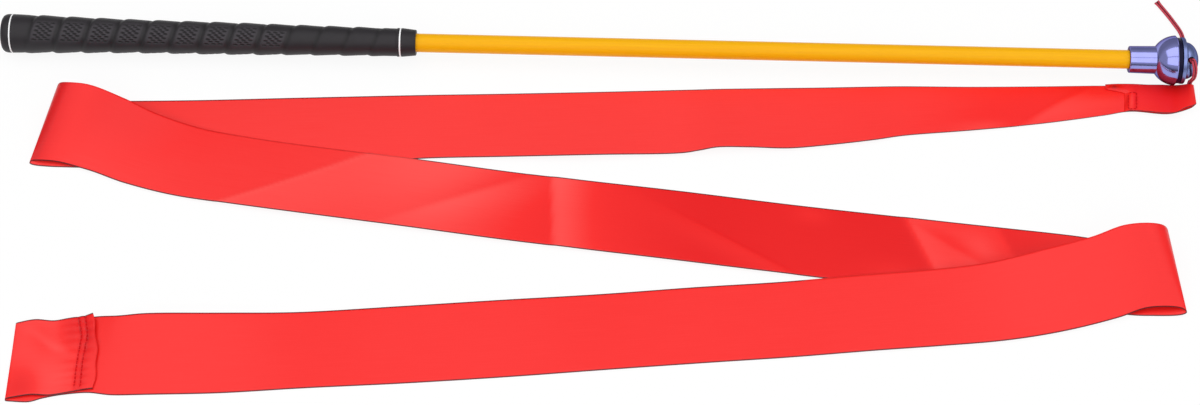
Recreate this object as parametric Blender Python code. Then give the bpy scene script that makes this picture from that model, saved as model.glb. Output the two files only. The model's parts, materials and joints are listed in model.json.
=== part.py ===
"""Rhythmic ribbon wand, laid out on the floor with its ribbon in three runs.

Metres, +Z up, floor at z = 0. The wand lies along +X from its grip to its
swivel head and rests on its grip's butt and on the head's bell. The origin is
the middle of the part's footprint on the floor.
"""

import math

import bmesh
import bpy
from mathutils import Matrix, Vector

MM = 0.001
SEGMENTS = 28
CLEARANCE = 0.2 * MM

# Grip
GRIP_LENGTH = 267 * MM
GRIP_BUTT_RADIUS = 12.5 * MM
GRIP_WAIST_RADIUS = 10.3 * MM
GRIP_WAIST_FROM_BUTT = 133 * MM
GRIP_FRONT_RADIUS = 8.9 * MM
GRIP_COLLAR_RADIUS = 9.25 * MM
GRIP_MOUTH_RADIUS = 8.1 * MM
GRIP_ROWS = 7
GRIP_CAP_THICKNESS = 6 * MM
GRIP_CAP_ROUNDING = 4 * MM
GRIP_CAP_NECK_LENGTH = 4 * MM
GRIP_CAP_NECK_RADIUS = 9.8 * MM
RING_WIDTH = 1.5 * MM
RING_DEPTH = 1.0 * MM
FRONT_RING_FROM_MOUTH = 8.5 * MM
WRAP_PITCH = 18.55 * MM
WRAP_GROOVE_DEPTH = 0.6 * MM
WRAP_GROOVE_WIDTH = 5 * MM
WRAP_START = 20.5 * MM
WRAP_END_FROM_MOUTH = 16 * MM
WRAP_RUN_OUT = 0.25
TAPE_THICKNESS = 0.35 * MM

# Rod
ROD_LENGTH = 730 * MM
ROD_RADIUS = 6 * MM
ROD_WALL = 2 * MM

# Head housing
FERRULE_RADIUS = 8.6 * MM
FERRULE_DEPTH = 16 * MM
FERRULE_CHAMFER = 0.6 * MM
WEB_THICKNESS = 2.2 * MM
KEY_HOLE_RADIUS = 3.4 * MM
BELL_RADIUS = 16 * MM
BELL_RIM_SETBACK = 0.4 * MM
BELL_STEPS = 9

# Bearing, 6 x 19 x 6 mm
BEARING_BORE_RADIUS = 3 * MM
BEARING_OUTER_RADIUS = 9.5 * MM
BEARING_WIDTH = 6 * MM
BALL_RADIUS = 1.75 * MM
BALL_COUNT = 7
RACE_PLAY = 0.1 * MM
RACE_LIP = 0.5 * MM
SHIELD_THICKNESS = 0.3 * MM
CAGE_THICKNESS = 1.5 * MM
CAGE_LENGTH = 2.5 * MM
RACEWAY_STEPS = 4
BALL_SEGMENTS = 12
BALL_RINGS = 8

# Spindle and retainer
SCREW_RADIUS = 2.9 * MM
SCREW_HEAD_RADIUS = 4.7 * MM
SCREW_HEAD_HEIGHT = 3.2 * MM
SCREW_KEY_DEPTH = 1.8 * MM
SCREW_KEY_RADIUS = 2.3 * MM
WASHER_THICKNESS = 0.6 * MM
WASHER_RADIUS = 4.6 * MM
RETAINER_RADIUS = 14.6 * MM
RETAINER_THICKNESS = 1.9 * MM
RETAINER_SPIGOT = 1 * MM

# Swivel cap
HUB_RADIUS = 4.4 * MM
FLANGE_RADIUS = 14.9 * MM
FLANGE_THICKNESS = 2.9 * MM
FLANGE_BEVEL = 1 * MM
DOME_RADIUS = 11.8 * MM
DOME_HEIGHT = 8.2 * MM
DOME_STEPS = 7
RUNNING_GAP = 0.3 * MM
HOLE_RADIUS = 1.8 * MM
HOLE_SEGMENTS = 16
HOLE_FROM_FLANGE = 2 * MM
HOLE_ELEVATION = math.radians(53)

# Cord
CORD_RADIUS = 1.2 * MM
KNOT_RADIUS = 2.35 * MM
KNOT_LENGTH = 4.2 * MM
KNOT_WRAPS = 3
KNOT_VALLEY = 0.55 * MM
KNOT_SEGMENTS = 12
KNOT_STEPS_PER_WRAP = 4
KNOT_FROM_MOUTH = 1.8 * MM
CORD_STEPS = 3
CORD_LOOP_LIFT = 0.15 * MM

# Ribbon
RIBBON_WIDTH = 53 * MM
RIBBON_THICKNESS = 0.5 * MM
TUCKED_SHARE = 0.45
TUCK_START = -54 * MM
TUCK_LENGTH = 215 * MM
RIBBON_STEPS = 3
FOLD_STEPS = 4
FOLD_FLATNESS = 0.55

# Places along the wand, from the butt
ROD_START = GRIP_CAP_THICKNESS + GRIP_CAP_NECK_LENGTH + CLEARANCE
ROD_END = ROD_START + ROD_LENGTH
WEB_BACK = ROD_END + CLEARANCE
FERRULE_BACK = WEB_BACK - FERRULE_DEPTH
POCKET_BACK = WEB_BACK + WEB_THICKNESS
SCREW_HEAD_BACK = POCKET_BACK + RUNNING_GAP
WASHER_BACK = SCREW_HEAD_BACK + SCREW_HEAD_HEIGHT + CLEARANCE / 2
BEARING_BACK = WASHER_BACK + WASHER_THICKNESS + CLEARANCE / 2
BEARING_FRONT = BEARING_BACK + BEARING_WIDTH
BEARING_MIDDLE = BEARING_BACK + BEARING_WIDTH / 2
BELL_RIM = BEARING_FRONT + CLEARANCE + RETAINER_SPIGOT
BELL_CENTRE = BELL_RIM + BELL_RIM_SETBACK
RETAINER_FRONT = BELL_RIM + CLEARANCE + RETAINER_THICKNESS
FLANGE_BACK = RETAINER_FRONT + RUNNING_GAP
FLANGE_FRONT = FLANGE_BACK + FLANGE_THICKNESS
DOME_BASE = FLANGE_FRONT + FLANGE_BEVEL
HOLE_X = DOME_BASE + HOLE_FROM_FLANGE

# The cord's route, in millimetres: over the dome's front, from the hole's middle;
# then x from the hole, y from the wand's axis and, in the loop, the lift.
CORD_DROP = ((2, -11.4, 10), (3.8, -12.6, 5), (4.6, -11.4, -1), (4.2, -9.4, -6.5))
CORD_IN_LOOP = ((3, -7.9, 3.6), (2.2, -8.5, 1), (1.8, -11.2, 0), (1.4, -16, 0),
                (-1.2, -21, 0), (-6.5, -24, 0), (-17, -24, 0))
CORD_TAIL = ((0.4, 17), (1.4, 32), (-3.6, 44), (-12.6, 60))

# The ribbon's route, as it lies: x from the cord hole, y from the wand's axis,
# lifts of the far and near edge, in millimetres, then the turn of the line
# across the ribbon from square to the wand, in degrees. Each fold gives its
# reach past the runs that it joins, and the heights of its far and near edge.
HEAD_FLAP = ((-52, -10, 1.35, 1.35, 2), (-36, -10.3, 1.35, 1.5, 1),
             (-22, -10.9, 1.4, 4, 0), (-11, -11.3, 1.7, 5.4, 0), (-3, -11.3, 2.6, 5.6, 0))
HEAD_BEND = ((2, -11.1, 3.7, 4.6, 0), (5.6, -10.9, 2.4, 2.6, 1), (2.6, -10.5, 0.3, 0.4, 2))
RUN_1 = ((-12, -9.9, 0, 0, 2), (-54, -10, 0, 0, 2.5), (-183, -14.5, 0, 0.4, 2.5),
         (-268, -18, 0, 2, 2.8), (-376, -25, 0, 3, 3.2), (-440, -28.6, 0, 2, 3.2),
         (-480, -31, 0, 0.1, 3.2), (-568, -36, 0, 0, 3.2), (-631, -40, 0, 0, 2),
         (-671, -42, 0, 0, -1), (-697, -43, 0, 0, -7))
LEFT_FOLD = (-22.6, 23.5, 5.5)
RUN_2 = ((-697, -48, 21.3, 4.1, -19.5), (-676, -51.5, 12, 2.2, -19.5),
         (-655, -57.3, 4.7, 1.4, -17), (-627, -65, 1.5, 1.2, -13),
         (-564, -74.8, 1.1, 0.8, -8.2), (-487, -83.6, 1.1, 0, -6.5),
         (-420, -91, 0, 0, -6.3), (-248, -110, 0, 0, -6), (-124, -122, 0, 0, -5),
         (-75, -128, 0, 0, -2), (-51, -130, 0, 0, 3))
RIGHT_FOLD = (28, 21, 5.2)
RUN_3 = ((-51, -132.5, 18, 4, 15), (-70, -137.5, 12, 2.4, 16.5),
         (-97, -142, 6.3, 1.5, 14.5), (-134, -151.4, 2.2, 1.2, 10),
         (-208, -162.4, 1.8, 1.1, 6.5), (-310, -174, 2.8, 0, 6.6),
         (-431, -188, 2.8, 0, 6.2), (-552, -200.5, 2, 0, 5.2),
         (-643, -205, 2.4, 0, 2), (-673, -207, 0.8, 0, 1), (-700, -211, 0, 0, -1))
TAIL_LOOP = (-22, 7, 5)
TAIL_FLAP = ((-699, -212, 4.6, 3.8, 3.5), (-685, -209, 2.6, 1.6, 4),
             (-675, -208, 4.2, 1.3, 3))


def clear_scene():
    for obj in list(bpy.data.objects):
        bpy.data.objects.remove(obj, do_unlink=True)


def material(name, colour, roughness, metallic=0.0):
    mat = bpy.data.materials.new(name)
    mat.use_nodes = True
    shader = mat.node_tree.nodes["Principled BSDF"]
    shader.inputs["Base Color"].default_value = (*colour, 1.0)
    shader.inputs["Roughness"].default_value = roughness
    shader.inputs["Metallic"].default_value = metallic
    return mat


def add_empty(name, parent=None):
    empty = bpy.data.objects.new(name, None)
    empty.empty_display_size = 20 * MM
    bpy.context.collection.objects.link(empty)
    empty.parent = parent
    return empty


def add_object(name, data, parent, mat=None):
    obj = bpy.data.objects.new(name, data)
    bpy.context.collection.objects.link(obj)
    obj.parent = parent
    if mat:
        data.materials.append(mat)
    return obj


def add_mesh(name, bm, parent, mat=None):
    bmesh.ops.recalc_face_normals(bm, faces=bm.faces)
    mesh = bpy.data.meshes.new(name)
    bm.to_mesh(mesh)
    bm.free()
    mesh.shade_smooth()
    mesh.set_sharp_from_angle(angle=math.radians(35))
    return add_object(name, mesh, parent, mat)


def turned(profile, steps=SEGMENTS, closed=True):
    """Spin a profile of (x, radius) points about the X axis."""
    bm = bmesh.new()
    verts = [bm.verts.new((x, 0, r)) for x, r in profile]
    ends = zip(verts, verts[1:] + verts[:1]) if closed else zip(verts, verts[1:])
    edges = [bm.edges.new(pair) for pair in ends]
    bmesh.ops.spin(bm, geom=verts + edges, cent=(0, 0, 0), axis=(1, 0, 0),
                   angle=math.tau, steps=steps, use_merge=True)
    bmesh.ops.remove_doubles(bm, verts=bm.verts, dist=1e-6)
    return bm


def tube_profile(start, end, inner, outer):
    return [(start, inner), (start, outer), (end, outer), (end, inner)]


def cut(target, cutter):
    """Take the cutter out of the target with a Boolean."""
    cutter.hide_render = True
    cutter.display_type = "WIRE"
    boolean = target.modifiers.new("cut_" + cutter.name, "BOOLEAN")
    boolean.operation = "DIFFERENCE"
    boolean.object = cutter


def smooth_route(stations, steps):
    """Read points from a centripetal Catmull-Rom curve through the stations."""
    points = [Vector(s) for s in stations]
    points = [2 * points[0] - points[1]] + points + [2 * points[-1] - points[-2]]
    out = []
    for p0, p1, p2, p3 in zip(points, points[1:], points[2:], points[3:]):
        t0 = 0.0
        t1 = t0 + math.sqrt((p1 - p0).length)
        t2 = t1 + math.sqrt((p2 - p1).length)
        t3 = t2 + math.sqrt((p3 - p2).length)
        for i in range(steps):
            t = t1 + (t2 - t1) * i / steps
            a1 = p0.lerp(p1, (t - t0) / (t1 - t0))
            a2 = p1.lerp(p2, (t - t1) / (t2 - t1))
            a3 = p2.lerp(p3, (t - t2) / (t3 - t2))
            b1 = a1.lerp(a2, (t - t0) / (t2 - t0))
            b2 = a2.lerp(a3, (t - t1) / (t3 - t1))
            out.append(b1.lerp(b2, (t - t1) / (t2 - t1)))
    out.append(points[-2])
    return out


def grip_radius(x):
    """Radius of the grip's smooth body at x."""
    collar = GRIP_LENGTH - FRONT_RING_FROM_MOUTH - 2 * RING_WIDTH
    if x < GRIP_WAIST_FROM_BUTT:
        t = (x - GRIP_CAP_THICKNESS) / (GRIP_WAIST_FROM_BUTT - GRIP_CAP_THICKNESS)
        return GRIP_BUTT_RADIUS + (GRIP_WAIST_RADIUS - GRIP_BUTT_RADIUS) * math.sin(
            max(t, 0) * math.pi / 2)
    t = (x - GRIP_WAIST_FROM_BUTT) / (collar - GRIP_WAIST_FROM_BUTT)
    return GRIP_WAIST_RADIUS + (GRIP_FRONT_RADIUS - GRIP_WAIST_RADIUS) * t


def wrap_groove():
    """V carried along a left-hand helix, which rises out of the grip at both ends."""
    turns = (GRIP_LENGTH - WRAP_END_FROM_MOUTH - WRAP_START) / WRAP_PITCH
    steps = int(turns * SEGMENTS)
    bm = bmesh.new()
    rings = []
    for i in range(steps + 1):
        turn = (i + 0.5) / SEGMENTS
        x = WRAP_START + turn * WRAP_PITCH
        rise = max(0, 1 - min(turn, turns - turn) / WRAP_RUN_OUT)
        floor = grip_radius(x) - WRAP_GROOVE_DEPTH * (1 - 2 * rise)
        top = floor + 2 * WRAP_GROOVE_DEPTH
        side = Vector((0, math.sin(turn * math.tau), math.cos(turn * math.tau)))
        rings.append([bm.verts.new(Vector((x + off, 0, 0)) + side * radius) for off, radius in
                      ((0, floor), (WRAP_GROOVE_WIDTH, top), (-WRAP_GROOVE_WIDTH, top))])
    skin_rings(bm, rings)
    return bm


def skin_rings(bm, rings):
    """Join rings of vertices, each to the next, and close both ends."""
    for one, two in zip(rings, rings[1:]):
        for j in range(len(one)):
            k = (j + 1) % len(one)
            bm.faces.new((one[j], one[k], two[k], two[j]))
    bm.faces.new(rings[0])
    bm.faces.new(reversed(rings[-1]))


def build_grip(wand, rubber, white, tape_mat):
    bore = ROD_RADIUS + 2 * CLEARANCE + TAPE_THICKNESS
    cap_face = GRIP_BUTT_RADIUS - GRIP_CAP_ROUNDING
    rounding = [(GRIP_CAP_ROUNDING * (1 - math.cos(a)),
                 cap_face + GRIP_CAP_ROUNDING * math.sin(a))
                for a in (i * math.pi / 10 for i in range(6))]
    neck_end = GRIP_CAP_THICKNESS + GRIP_CAP_NECK_LENGTH
    cap = [(0, 0)] + rounding + [
        (GRIP_CAP_THICKNESS, GRIP_BUTT_RADIUS), (GRIP_CAP_THICKNESS, GRIP_CAP_NECK_RADIUS),
        (neck_end, GRIP_CAP_NECK_RADIUS), (neck_end, 0)]
    add_mesh("grip_end_cap", turned(cap, closed=False), wand, rubber)

    ring_start = GRIP_CAP_THICKNESS + CLEARANCE
    neck_bore = GRIP_CAP_NECK_RADIUS + CLEARANCE
    add_mesh("grip_rear_ring", turned(tube_profile(
        ring_start, ring_start + RING_WIDTH, neck_bore, GRIP_BUTT_RADIUS)), wand, white)

    sleeve_start = ring_start + RING_WIDTH + CLEARANCE
    groove_end = GRIP_LENGTH - FRONT_RING_FROM_MOUTH
    groove_start = groove_end - RING_WIDTH - 2 * CLEARANCE
    groove_floor = GRIP_COLLAR_RADIUS - RING_DEPTH - CLEARANCE
    collar_step = groove_start - RING_WIDTH
    rows = [sleeve_start + (GRIP_WAIST_FROM_BUTT - sleeve_start) * i / GRIP_ROWS
            for i in range(GRIP_ROWS + 1)] + [collar_step]
    outer = [(x, grip_radius(x)) for x in rows] + [
        (collar_step, GRIP_COLLAR_RADIUS), (groove_start, GRIP_COLLAR_RADIUS),
        (groove_start, groove_floor), (groove_end, groove_floor),
        (groove_end, GRIP_COLLAR_RADIUS), (GRIP_LENGTH, GRIP_MOUTH_RADIUS)]
    inner = [(GRIP_LENGTH, bore), (neck_end + CLEARANCE, bore),
             (neck_end + CLEARANCE, neck_bore), (sleeve_start, neck_bore)]
    sleeve = add_mesh("grip_sleeve", turned(outer + inner), wand, rubber)
    cut(sleeve, add_mesh("wrap_groove", wrap_groove(), wand))

    add_mesh("grip_front_ring", turned(tube_profile(
        groove_start + CLEARANCE, groove_end - CLEARANCE,
        groove_floor + CLEARANCE, GRIP_COLLAR_RADIUS)), wand, white)
    tape_inner = ROD_RADIUS + CLEARANCE
    add_mesh("grip_tape", turned(tube_profile(
        ROD_START, GRIP_LENGTH - RING_WIDTH, tape_inner, tape_inner + TAPE_THICKNESS)),
        wand, tape_mat)


def build_head(wand, anodised):
    junction = math.pi - math.asin(FERRULE_RADIUS / BELL_RADIUS)
    rim = math.acos(-BELL_RIM_SETBACK / BELL_RADIUS)
    bell = [(BELL_CENTRE + BELL_RADIUS * math.cos(a), BELL_RADIUS * math.sin(a))
            for a in (junction + (rim - junction) * i / BELL_STEPS
                      for i in range(BELL_STEPS + 1))]
    socket = ROD_RADIUS + CLEARANCE
    seat = BEARING_OUTER_RADIUS + CLEARANCE / 2
    shoulder = BEARING_OUTER_RADIUS - 2 * RACE_LIP - RACE_PLAY
    profile = [(FERRULE_BACK, socket), (FERRULE_BACK, FERRULE_RADIUS - FERRULE_CHAMFER),
               (FERRULE_BACK + FERRULE_CHAMFER, FERRULE_RADIUS)] + bell + [
        (BELL_RIM, seat), (BEARING_BACK - CLEARANCE / 2, seat),
        (BEARING_BACK - CLEARANCE / 2, shoulder), (POCKET_BACK, shoulder),
        (POCKET_BACK, KEY_HOLE_RADIUS), (WEB_BACK, KEY_HOLE_RADIUS), (WEB_BACK, socket)]
    add_mesh("head_housing", turned(profile), wand, anodised)


def raceway(side, lip):
    """Groove points from front to back on a race, whose lip is at radius lip."""
    pitch_radius = (BEARING_BORE_RADIUS + BEARING_OUTER_RADIUS) / 2
    groove = BALL_RADIUS + RACE_PLAY
    half = math.acos((pitch_radius - lip) * side / groove)
    return [(BEARING_MIDDLE + groove * math.sin(b),
             pitch_radius - side * groove * math.cos(b))
            for b in (half * (1 - 2 * i / RACEWAY_STEPS) for i in range(RACEWAY_STEPS + 1))]


def build_bearing(wand, steel, nylon):
    pitch_radius = (BEARING_BORE_RADIUS + BEARING_OUTER_RADIUS) / 2
    inner_lip = pitch_radius - BALL_RADIUS + RACE_LIP - RACE_PLAY
    outer_lip = pitch_radius + BALL_RADIUS - RACE_LIP + RACE_PLAY
    add_mesh("bearing_inner_race", turned(
        [(BEARING_BACK, BEARING_BORE_RADIUS), (BEARING_FRONT, BEARING_BORE_RADIUS),
         (BEARING_FRONT, inner_lip)] + raceway(1, inner_lip) + [(BEARING_BACK, inner_lip)]),
        wand, steel)
    add_mesh("bearing_outer_race", turned(
        [(BEARING_BACK, BEARING_OUTER_RADIUS), (BEARING_FRONT, BEARING_OUTER_RADIUS),
         (BEARING_FRONT, outer_lip)] + raceway(-1, outer_lip) + [(BEARING_BACK, outer_lip)]),
        wand, steel)
    for name, start in (("bearing_rear_shield", BEARING_BACK + CLEARANCE / 2),
                        ("bearing_front_shield",
                         BEARING_FRONT - CLEARANCE / 2 - SHIELD_THICKNESS)):
        add_mesh(name, turned(tube_profile(
            start, start + SHIELD_THICKNESS, inner_lip + CLEARANCE, outer_lip - CLEARANCE)),
            wand, steel)

    cage_start = BEARING_MIDDLE - CAGE_THICKNESS / 4
    cage = add_mesh("bearing_cage", turned(tube_profile(
        cage_start, cage_start + CAGE_LENGTH,
        pitch_radius - CAGE_THICKNESS / 2, pitch_radius + CAGE_THICKNESS / 2)), wand, nylon)
    pockets = bmesh.new()
    for i in range(BALL_COUNT):
        angle = math.tau * i / BALL_COUNT
        place = Matrix.Translation((BEARING_MIDDLE, pitch_radius * math.cos(angle),
                                    pitch_radius * math.sin(angle)))
        ball = bmesh.new()
        bmesh.ops.create_uvsphere(ball, u_segments=BALL_SEGMENTS, v_segments=BALL_RINGS,
                                  radius=BALL_RADIUS, matrix=place)
        add_mesh(f"bearing_ball_{i + 1}", ball, wand, steel)
        bmesh.ops.create_uvsphere(pockets, u_segments=BALL_SEGMENTS, v_segments=BALL_RINGS,
                                  radius=BALL_RADIUS + CLEARANCE, matrix=place)
    cut(cage, add_mesh("cage_pockets", pockets, wand))


def build_spindle(wand, steel, black):
    screw_end = FLANGE_FRONT - CLEARANCE
    head_front = SCREW_HEAD_BACK + SCREW_HEAD_HEIGHT
    screw = add_mesh("spindle_screw", turned(
        [(SCREW_HEAD_BACK, 0), (SCREW_HEAD_BACK, SCREW_HEAD_RADIUS),
         (head_front, SCREW_HEAD_RADIUS), (head_front, SCREW_RADIUS),
         (screw_end, SCREW_RADIUS), (screw_end, 0)], closed=False), wand, steel)
    key = turned([(SCREW_HEAD_BACK - CLEARANCE, 0), (SCREW_HEAD_BACK - CLEARANCE, SCREW_KEY_RADIUS),
                  (SCREW_HEAD_BACK + SCREW_KEY_DEPTH, SCREW_KEY_RADIUS),
                  (SCREW_HEAD_BACK + SCREW_KEY_DEPTH, 0)], steps=6, closed=False)
    cut(screw, add_mesh("screw_key", key, wand))
    add_mesh("spindle_washer", turned(tube_profile(
        WASHER_BACK, WASHER_BACK + WASHER_THICKNESS,
        SCREW_RADIUS + CLEARANCE, WASHER_RADIUS)), wand, steel)

    seat = BEARING_OUTER_RADIUS
    bore = HUB_RADIUS + 3 * CLEARANCE
    spigot_bore = seat - 2 * RACE_LIP
    add_mesh("retainer_ring", turned(
        [(BEARING_FRONT + CLEARANCE, spigot_bore), (BEARING_FRONT + CLEARANCE, seat),
         (BELL_RIM + CLEARANCE, seat), (BELL_RIM + CLEARANCE, RETAINER_RADIUS),
         (RETAINER_FRONT, RETAINER_RADIUS), (RETAINER_FRONT, bore),
         (BELL_RIM + CLEARANCE, bore), (BELL_RIM + CLEARANCE, spigot_bore)]), wand, black)


def build_cap(wand, anodised):
    hub_back = BEARING_FRONT + CLEARANCE
    thread = SCREW_RADIUS + CLEARANCE / 2
    dome = [(DOME_BASE + DOME_HEIGHT * math.sin(a), DOME_RADIUS * math.cos(a))
            for a in (i * math.pi / 2 / DOME_STEPS for i in range(DOME_STEPS))]
    profile = [(FLANGE_FRONT, 0), (FLANGE_FRONT, thread), (hub_back, thread),
               (hub_back, HUB_RADIUS), (FLANGE_BACK, HUB_RADIUS),
               (FLANGE_BACK, FLANGE_RADIUS), (FLANGE_FRONT, FLANGE_RADIUS)] + dome + [
        (DOME_BASE + DOME_HEIGHT, 0)]
    cap = add_mesh("swivel_cap", turned(profile, closed=False), wand, anodised)
    drill = turned([(-2 * FLANGE_RADIUS, 0), (-2 * FLANGE_RADIUS, HOLE_RADIUS),
                    (2 * FLANGE_RADIUS, HOLE_RADIUS), (2 * FLANGE_RADIUS, 0)],
                   steps=HOLE_SEGMENTS, closed=False)
    hole = add_mesh("cord_hole", drill, wand)
    hole.matrix_local = Matrix.Translation((HOLE_X, 0, 0)) @ hole_direction().to_track_quat(
        "X", "Z").to_matrix().to_4x4()
    cut(cap, hole)


def hole_direction():
    return Vector((0, -math.cos(HOLE_ELEVATION), math.sin(HOLE_ELEVATION)))


def add_cord(name, stations, lay, mat):
    points = smooth_route(stations, CORD_STEPS)
    curve = bpy.data.curves.new(name, "CURVE")
    curve.dimensions = "3D"
    curve.bevel_depth = CORD_RADIUS
    curve.bevel_resolution = 2
    curve.use_fill_caps = True
    spline = curve.splines.new("POLY")
    spline.points.add(len(points) - 1)
    for point, place in zip(spline.points, points):
        point.co = (*place, 1)
    return add_object(name, curve, lay, mat)


def build_cord(lay, hole, mat):
    """Cord from its stopper knot, through the cap, into the ribbon's loop."""
    along = hole_direction()
    mouth = DOME_RADIUS * math.sqrt(1 - (HOLE_FROM_FLANGE / DOME_HEIGHT) ** 2)
    knot_start = mouth + KNOT_FROM_MOUTH
    loop_floor = RIBBON_THICKNESS + CLEARANCE + CORD_RADIUS + CORD_LOOP_LIFT
    through = [hole + along * reach for reach in (
        -knot_start + CLEARANCE, -mouth / 2, mouth / 2, mouth, mouth + 1.5 * CORD_RADIUS)]
    drop = [hole + Vector(place) * MM for place in CORD_DROP]
    loop = [Vector((hole.x + x * MM, y * MM, loop_floor + lift * MM))
            for x, y, lift in CORD_IN_LOOP]
    add_cord("cord_line", through + drop + loop, lay, mat)

    steps = KNOT_WRAPS * KNOT_STEPS_PER_WRAP
    knot = [(0, 0)] + [
        (KNOT_LENGTH * i / steps,
         KNOT_RADIUS - KNOT_VALLEY * (1 - abs(math.sin(i * math.pi / KNOT_STEPS_PER_WRAP))))
        for i in range(steps + 1)] + [(KNOT_LENGTH, 0)]
    barrel = add_mesh("cord_knot", turned(knot, KNOT_SEGMENTS, closed=False), lay, mat)
    barrel.matrix_local = Matrix.Translation(hole - along * knot_start) @ (
        -along).to_track_quat("X", "Z").to_matrix().to_4x4()

    tail_start = hole - along * (knot_start + KNOT_LENGTH + CORD_RADIUS)
    tail = [Vector((hole.x, tail_start.y + CORD_RADIUS / 2, max(tail_start.z, CORD_RADIUS)))]
    tail += [Vector((hole.x + x * MM, y * MM, CORD_RADIUS)) for x, y in CORD_TAIL]
    add_cord("cord_tail", tail, lay, mat)


def fold(end, start, bend):
    """Stations of a rounded fold between a run's end and the next run's start."""
    reach, far_height, near_height = bend
    loop = []
    for i in range(FOLD_STEPS + 1):
        t = i / FOLD_STEPS
        angle = math.pi * (t - 0.5)
        lift = (1 + math.sin(angle)) / 2
        out = reach * (FOLD_FLATNESS + (1 - FOLD_FLATNESS) * math.cos(angle))
        loop.append((end[0] + (start[0] - end[0]) * t + out,
                     end[1] + (start[1] - end[1]) * t * t,
                     lift * far_height, lift * near_height,
                     end[4] + (start[4] - end[4]) * t))
    return loop


def build_ribbon(lay, hole, mat):
    left = fold(RUN_1[-1], RUN_2[0], LEFT_FOLD)
    right = fold(RUN_2[-1], RUN_3[0], RIGHT_FOLD)
    tail = fold(RUN_3[-1], TAIL_FLAP[0], TAIL_LOOP)
    stations = [*HEAD_FLAP, *HEAD_BEND, *RUN_1, *left, *RUN_2, *right, *RUN_3, *tail, *TAIL_FLAP]
    tucked_rows = RIBBON_STEPS * len(HEAD_FLAP + HEAD_BEND + RUN_1)
    far, near = [], []
    for i, (x, y, far_z, near_z, turn) in enumerate(
            smooth_values(stations, RIBBON_STEPS)):
        share = 1.0
        if i < tucked_rows:
            opened = min(max((TUCK_START - x * MM) / TUCK_LENGTH, 0), 1)
            share = TUCKED_SHARE + (1 - TUCKED_SHARE) * opened
        base = RIBBON_THICKNESS / 2
        z_far, z_near = base + max(far_z, 0) * MM, base + max(near_z, 0) * MM
        width = share * RIBBON_WIDTH
        flat = math.sqrt(width ** 2 - (z_near - z_far) ** 2)
        edge = Vector((hole.x + x * MM, y * MM, z_far))
        angle = math.radians(turn)
        far.append(edge)
        near.append(edge + Vector((flat * math.sin(angle), -flat * math.cos(angle),
                                   z_near - z_far)))
    bm = bmesh.new()
    rings = []
    for i, (a, b) in enumerate(zip(far, near)):
        ahead, behind = min(i + 1, len(far) - 1), max(i - 1, 0)
        across = b - a
        up_far = (far[ahead] - far[behind]).cross(across).normalized() * RIBBON_THICKNESS / 2
        up_near = (near[ahead] - near[behind]).cross(across).normalized() * RIBBON_THICKNESS / 2
        rings.append([bm.verts.new(p) for p in (a + up_far, b + up_near, b - up_near, a - up_far)])
    skin_rings(bm, rings)
    add_mesh("ribbon", bm, lay, mat)


def smooth_values(stations, steps):
    """Read a smooth curve through stations of five values."""
    places = smooth_route([s[:3] for s in stations], steps)
    others = smooth_route([(s[3], s[4], i * 10.0) for i, s in enumerate(stations)], steps)
    return [(*p, *o[:2]) for p, o in zip(places, others)]


def wand_pitch():
    """Tilt at which the grip's butt and the head's bell both touch the floor."""
    reach = BELL_CENTRE - GRIP_CAP_THICKNESS
    return math.asin(BELL_RADIUS / math.hypot(reach, GRIP_BUTT_RADIUS)) - math.atan2(
        GRIP_BUTT_RADIUS, reach)


def centre_on_footprint(lay):
    """Move the layout so that the origin is under the middle of the part."""
    bpy.context.view_layer.update()
    corners = [obj.matrix_world @ Vector(c) for obj in bpy.data.objects
               if obj.type == "MESH" and not obj.hide_render and not obj.name.startswith("cord")
               for c in obj.bound_box]
    for axis in (0, 1):
        values = [c[axis] for c in corners]
        lay.location[axis] = -(min(values) + max(values)) / 2


def main():
    clear_scene()
    lay = add_empty("layout")
    wand = add_empty("wand_axis", lay)
    pitch = wand_pitch()
    wand.rotation_euler = (0, -pitch, 0)
    wand.location.z = BELL_RADIUS - BELL_CENTRE * math.sin(pitch)

    rubber = material("rubber_charcoal", (0.033, 0.032, 0.036), 0.6)
    white = material("plastic_white", (0.85, 0.85, 0.86), 0.4)
    tape_mat = material("tape_cream", (0.75, 0.7, 0.55), 0.8)
    amber = material("glass_fibre_amber", (0.85, 0.42, 0.012), 0.3)
    anodised = material("anodised_violet", (0.3, 0.31, 0.6), 0.22, 1.0)
    black = material("nylon_black", (0.012, 0.01, 0.03), 0.45)
    steel = material("bearing_steel", (0.6, 0.61, 0.63), 0.2, 1.0)
    nylon = material("cage_nylon", (0.6, 0.5, 0.32), 0.5)
    crimson = material("cord_crimson", (0.5, 0.06, 0.1), 0.7)
    satin = material("satin_red", (0.9, 0.045, 0.045), 0.4)

    build_grip(wand, rubber, white, tape_mat)
    add_mesh("rod", turned(tube_profile(
        ROD_START, ROD_END, ROD_RADIUS - ROD_WALL, ROD_RADIUS)), wand, amber)
    build_head(wand, anodised)
    build_bearing(wand, steel, nylon)
    build_spindle(wand, steel, black)
    build_cap(wand, anodised)

    bpy.context.view_layer.update()
    hole = wand.matrix_local @ Vector((HOLE_X, 0, 0))
    build_cord(lay, hole, crimson)
    build_ribbon(lay, hole, satin)
    centre_on_footprint(lay)


main()
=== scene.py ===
"""Rhythmic ribbon wand laid out on a white floor: the looks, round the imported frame."""

import json

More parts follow.
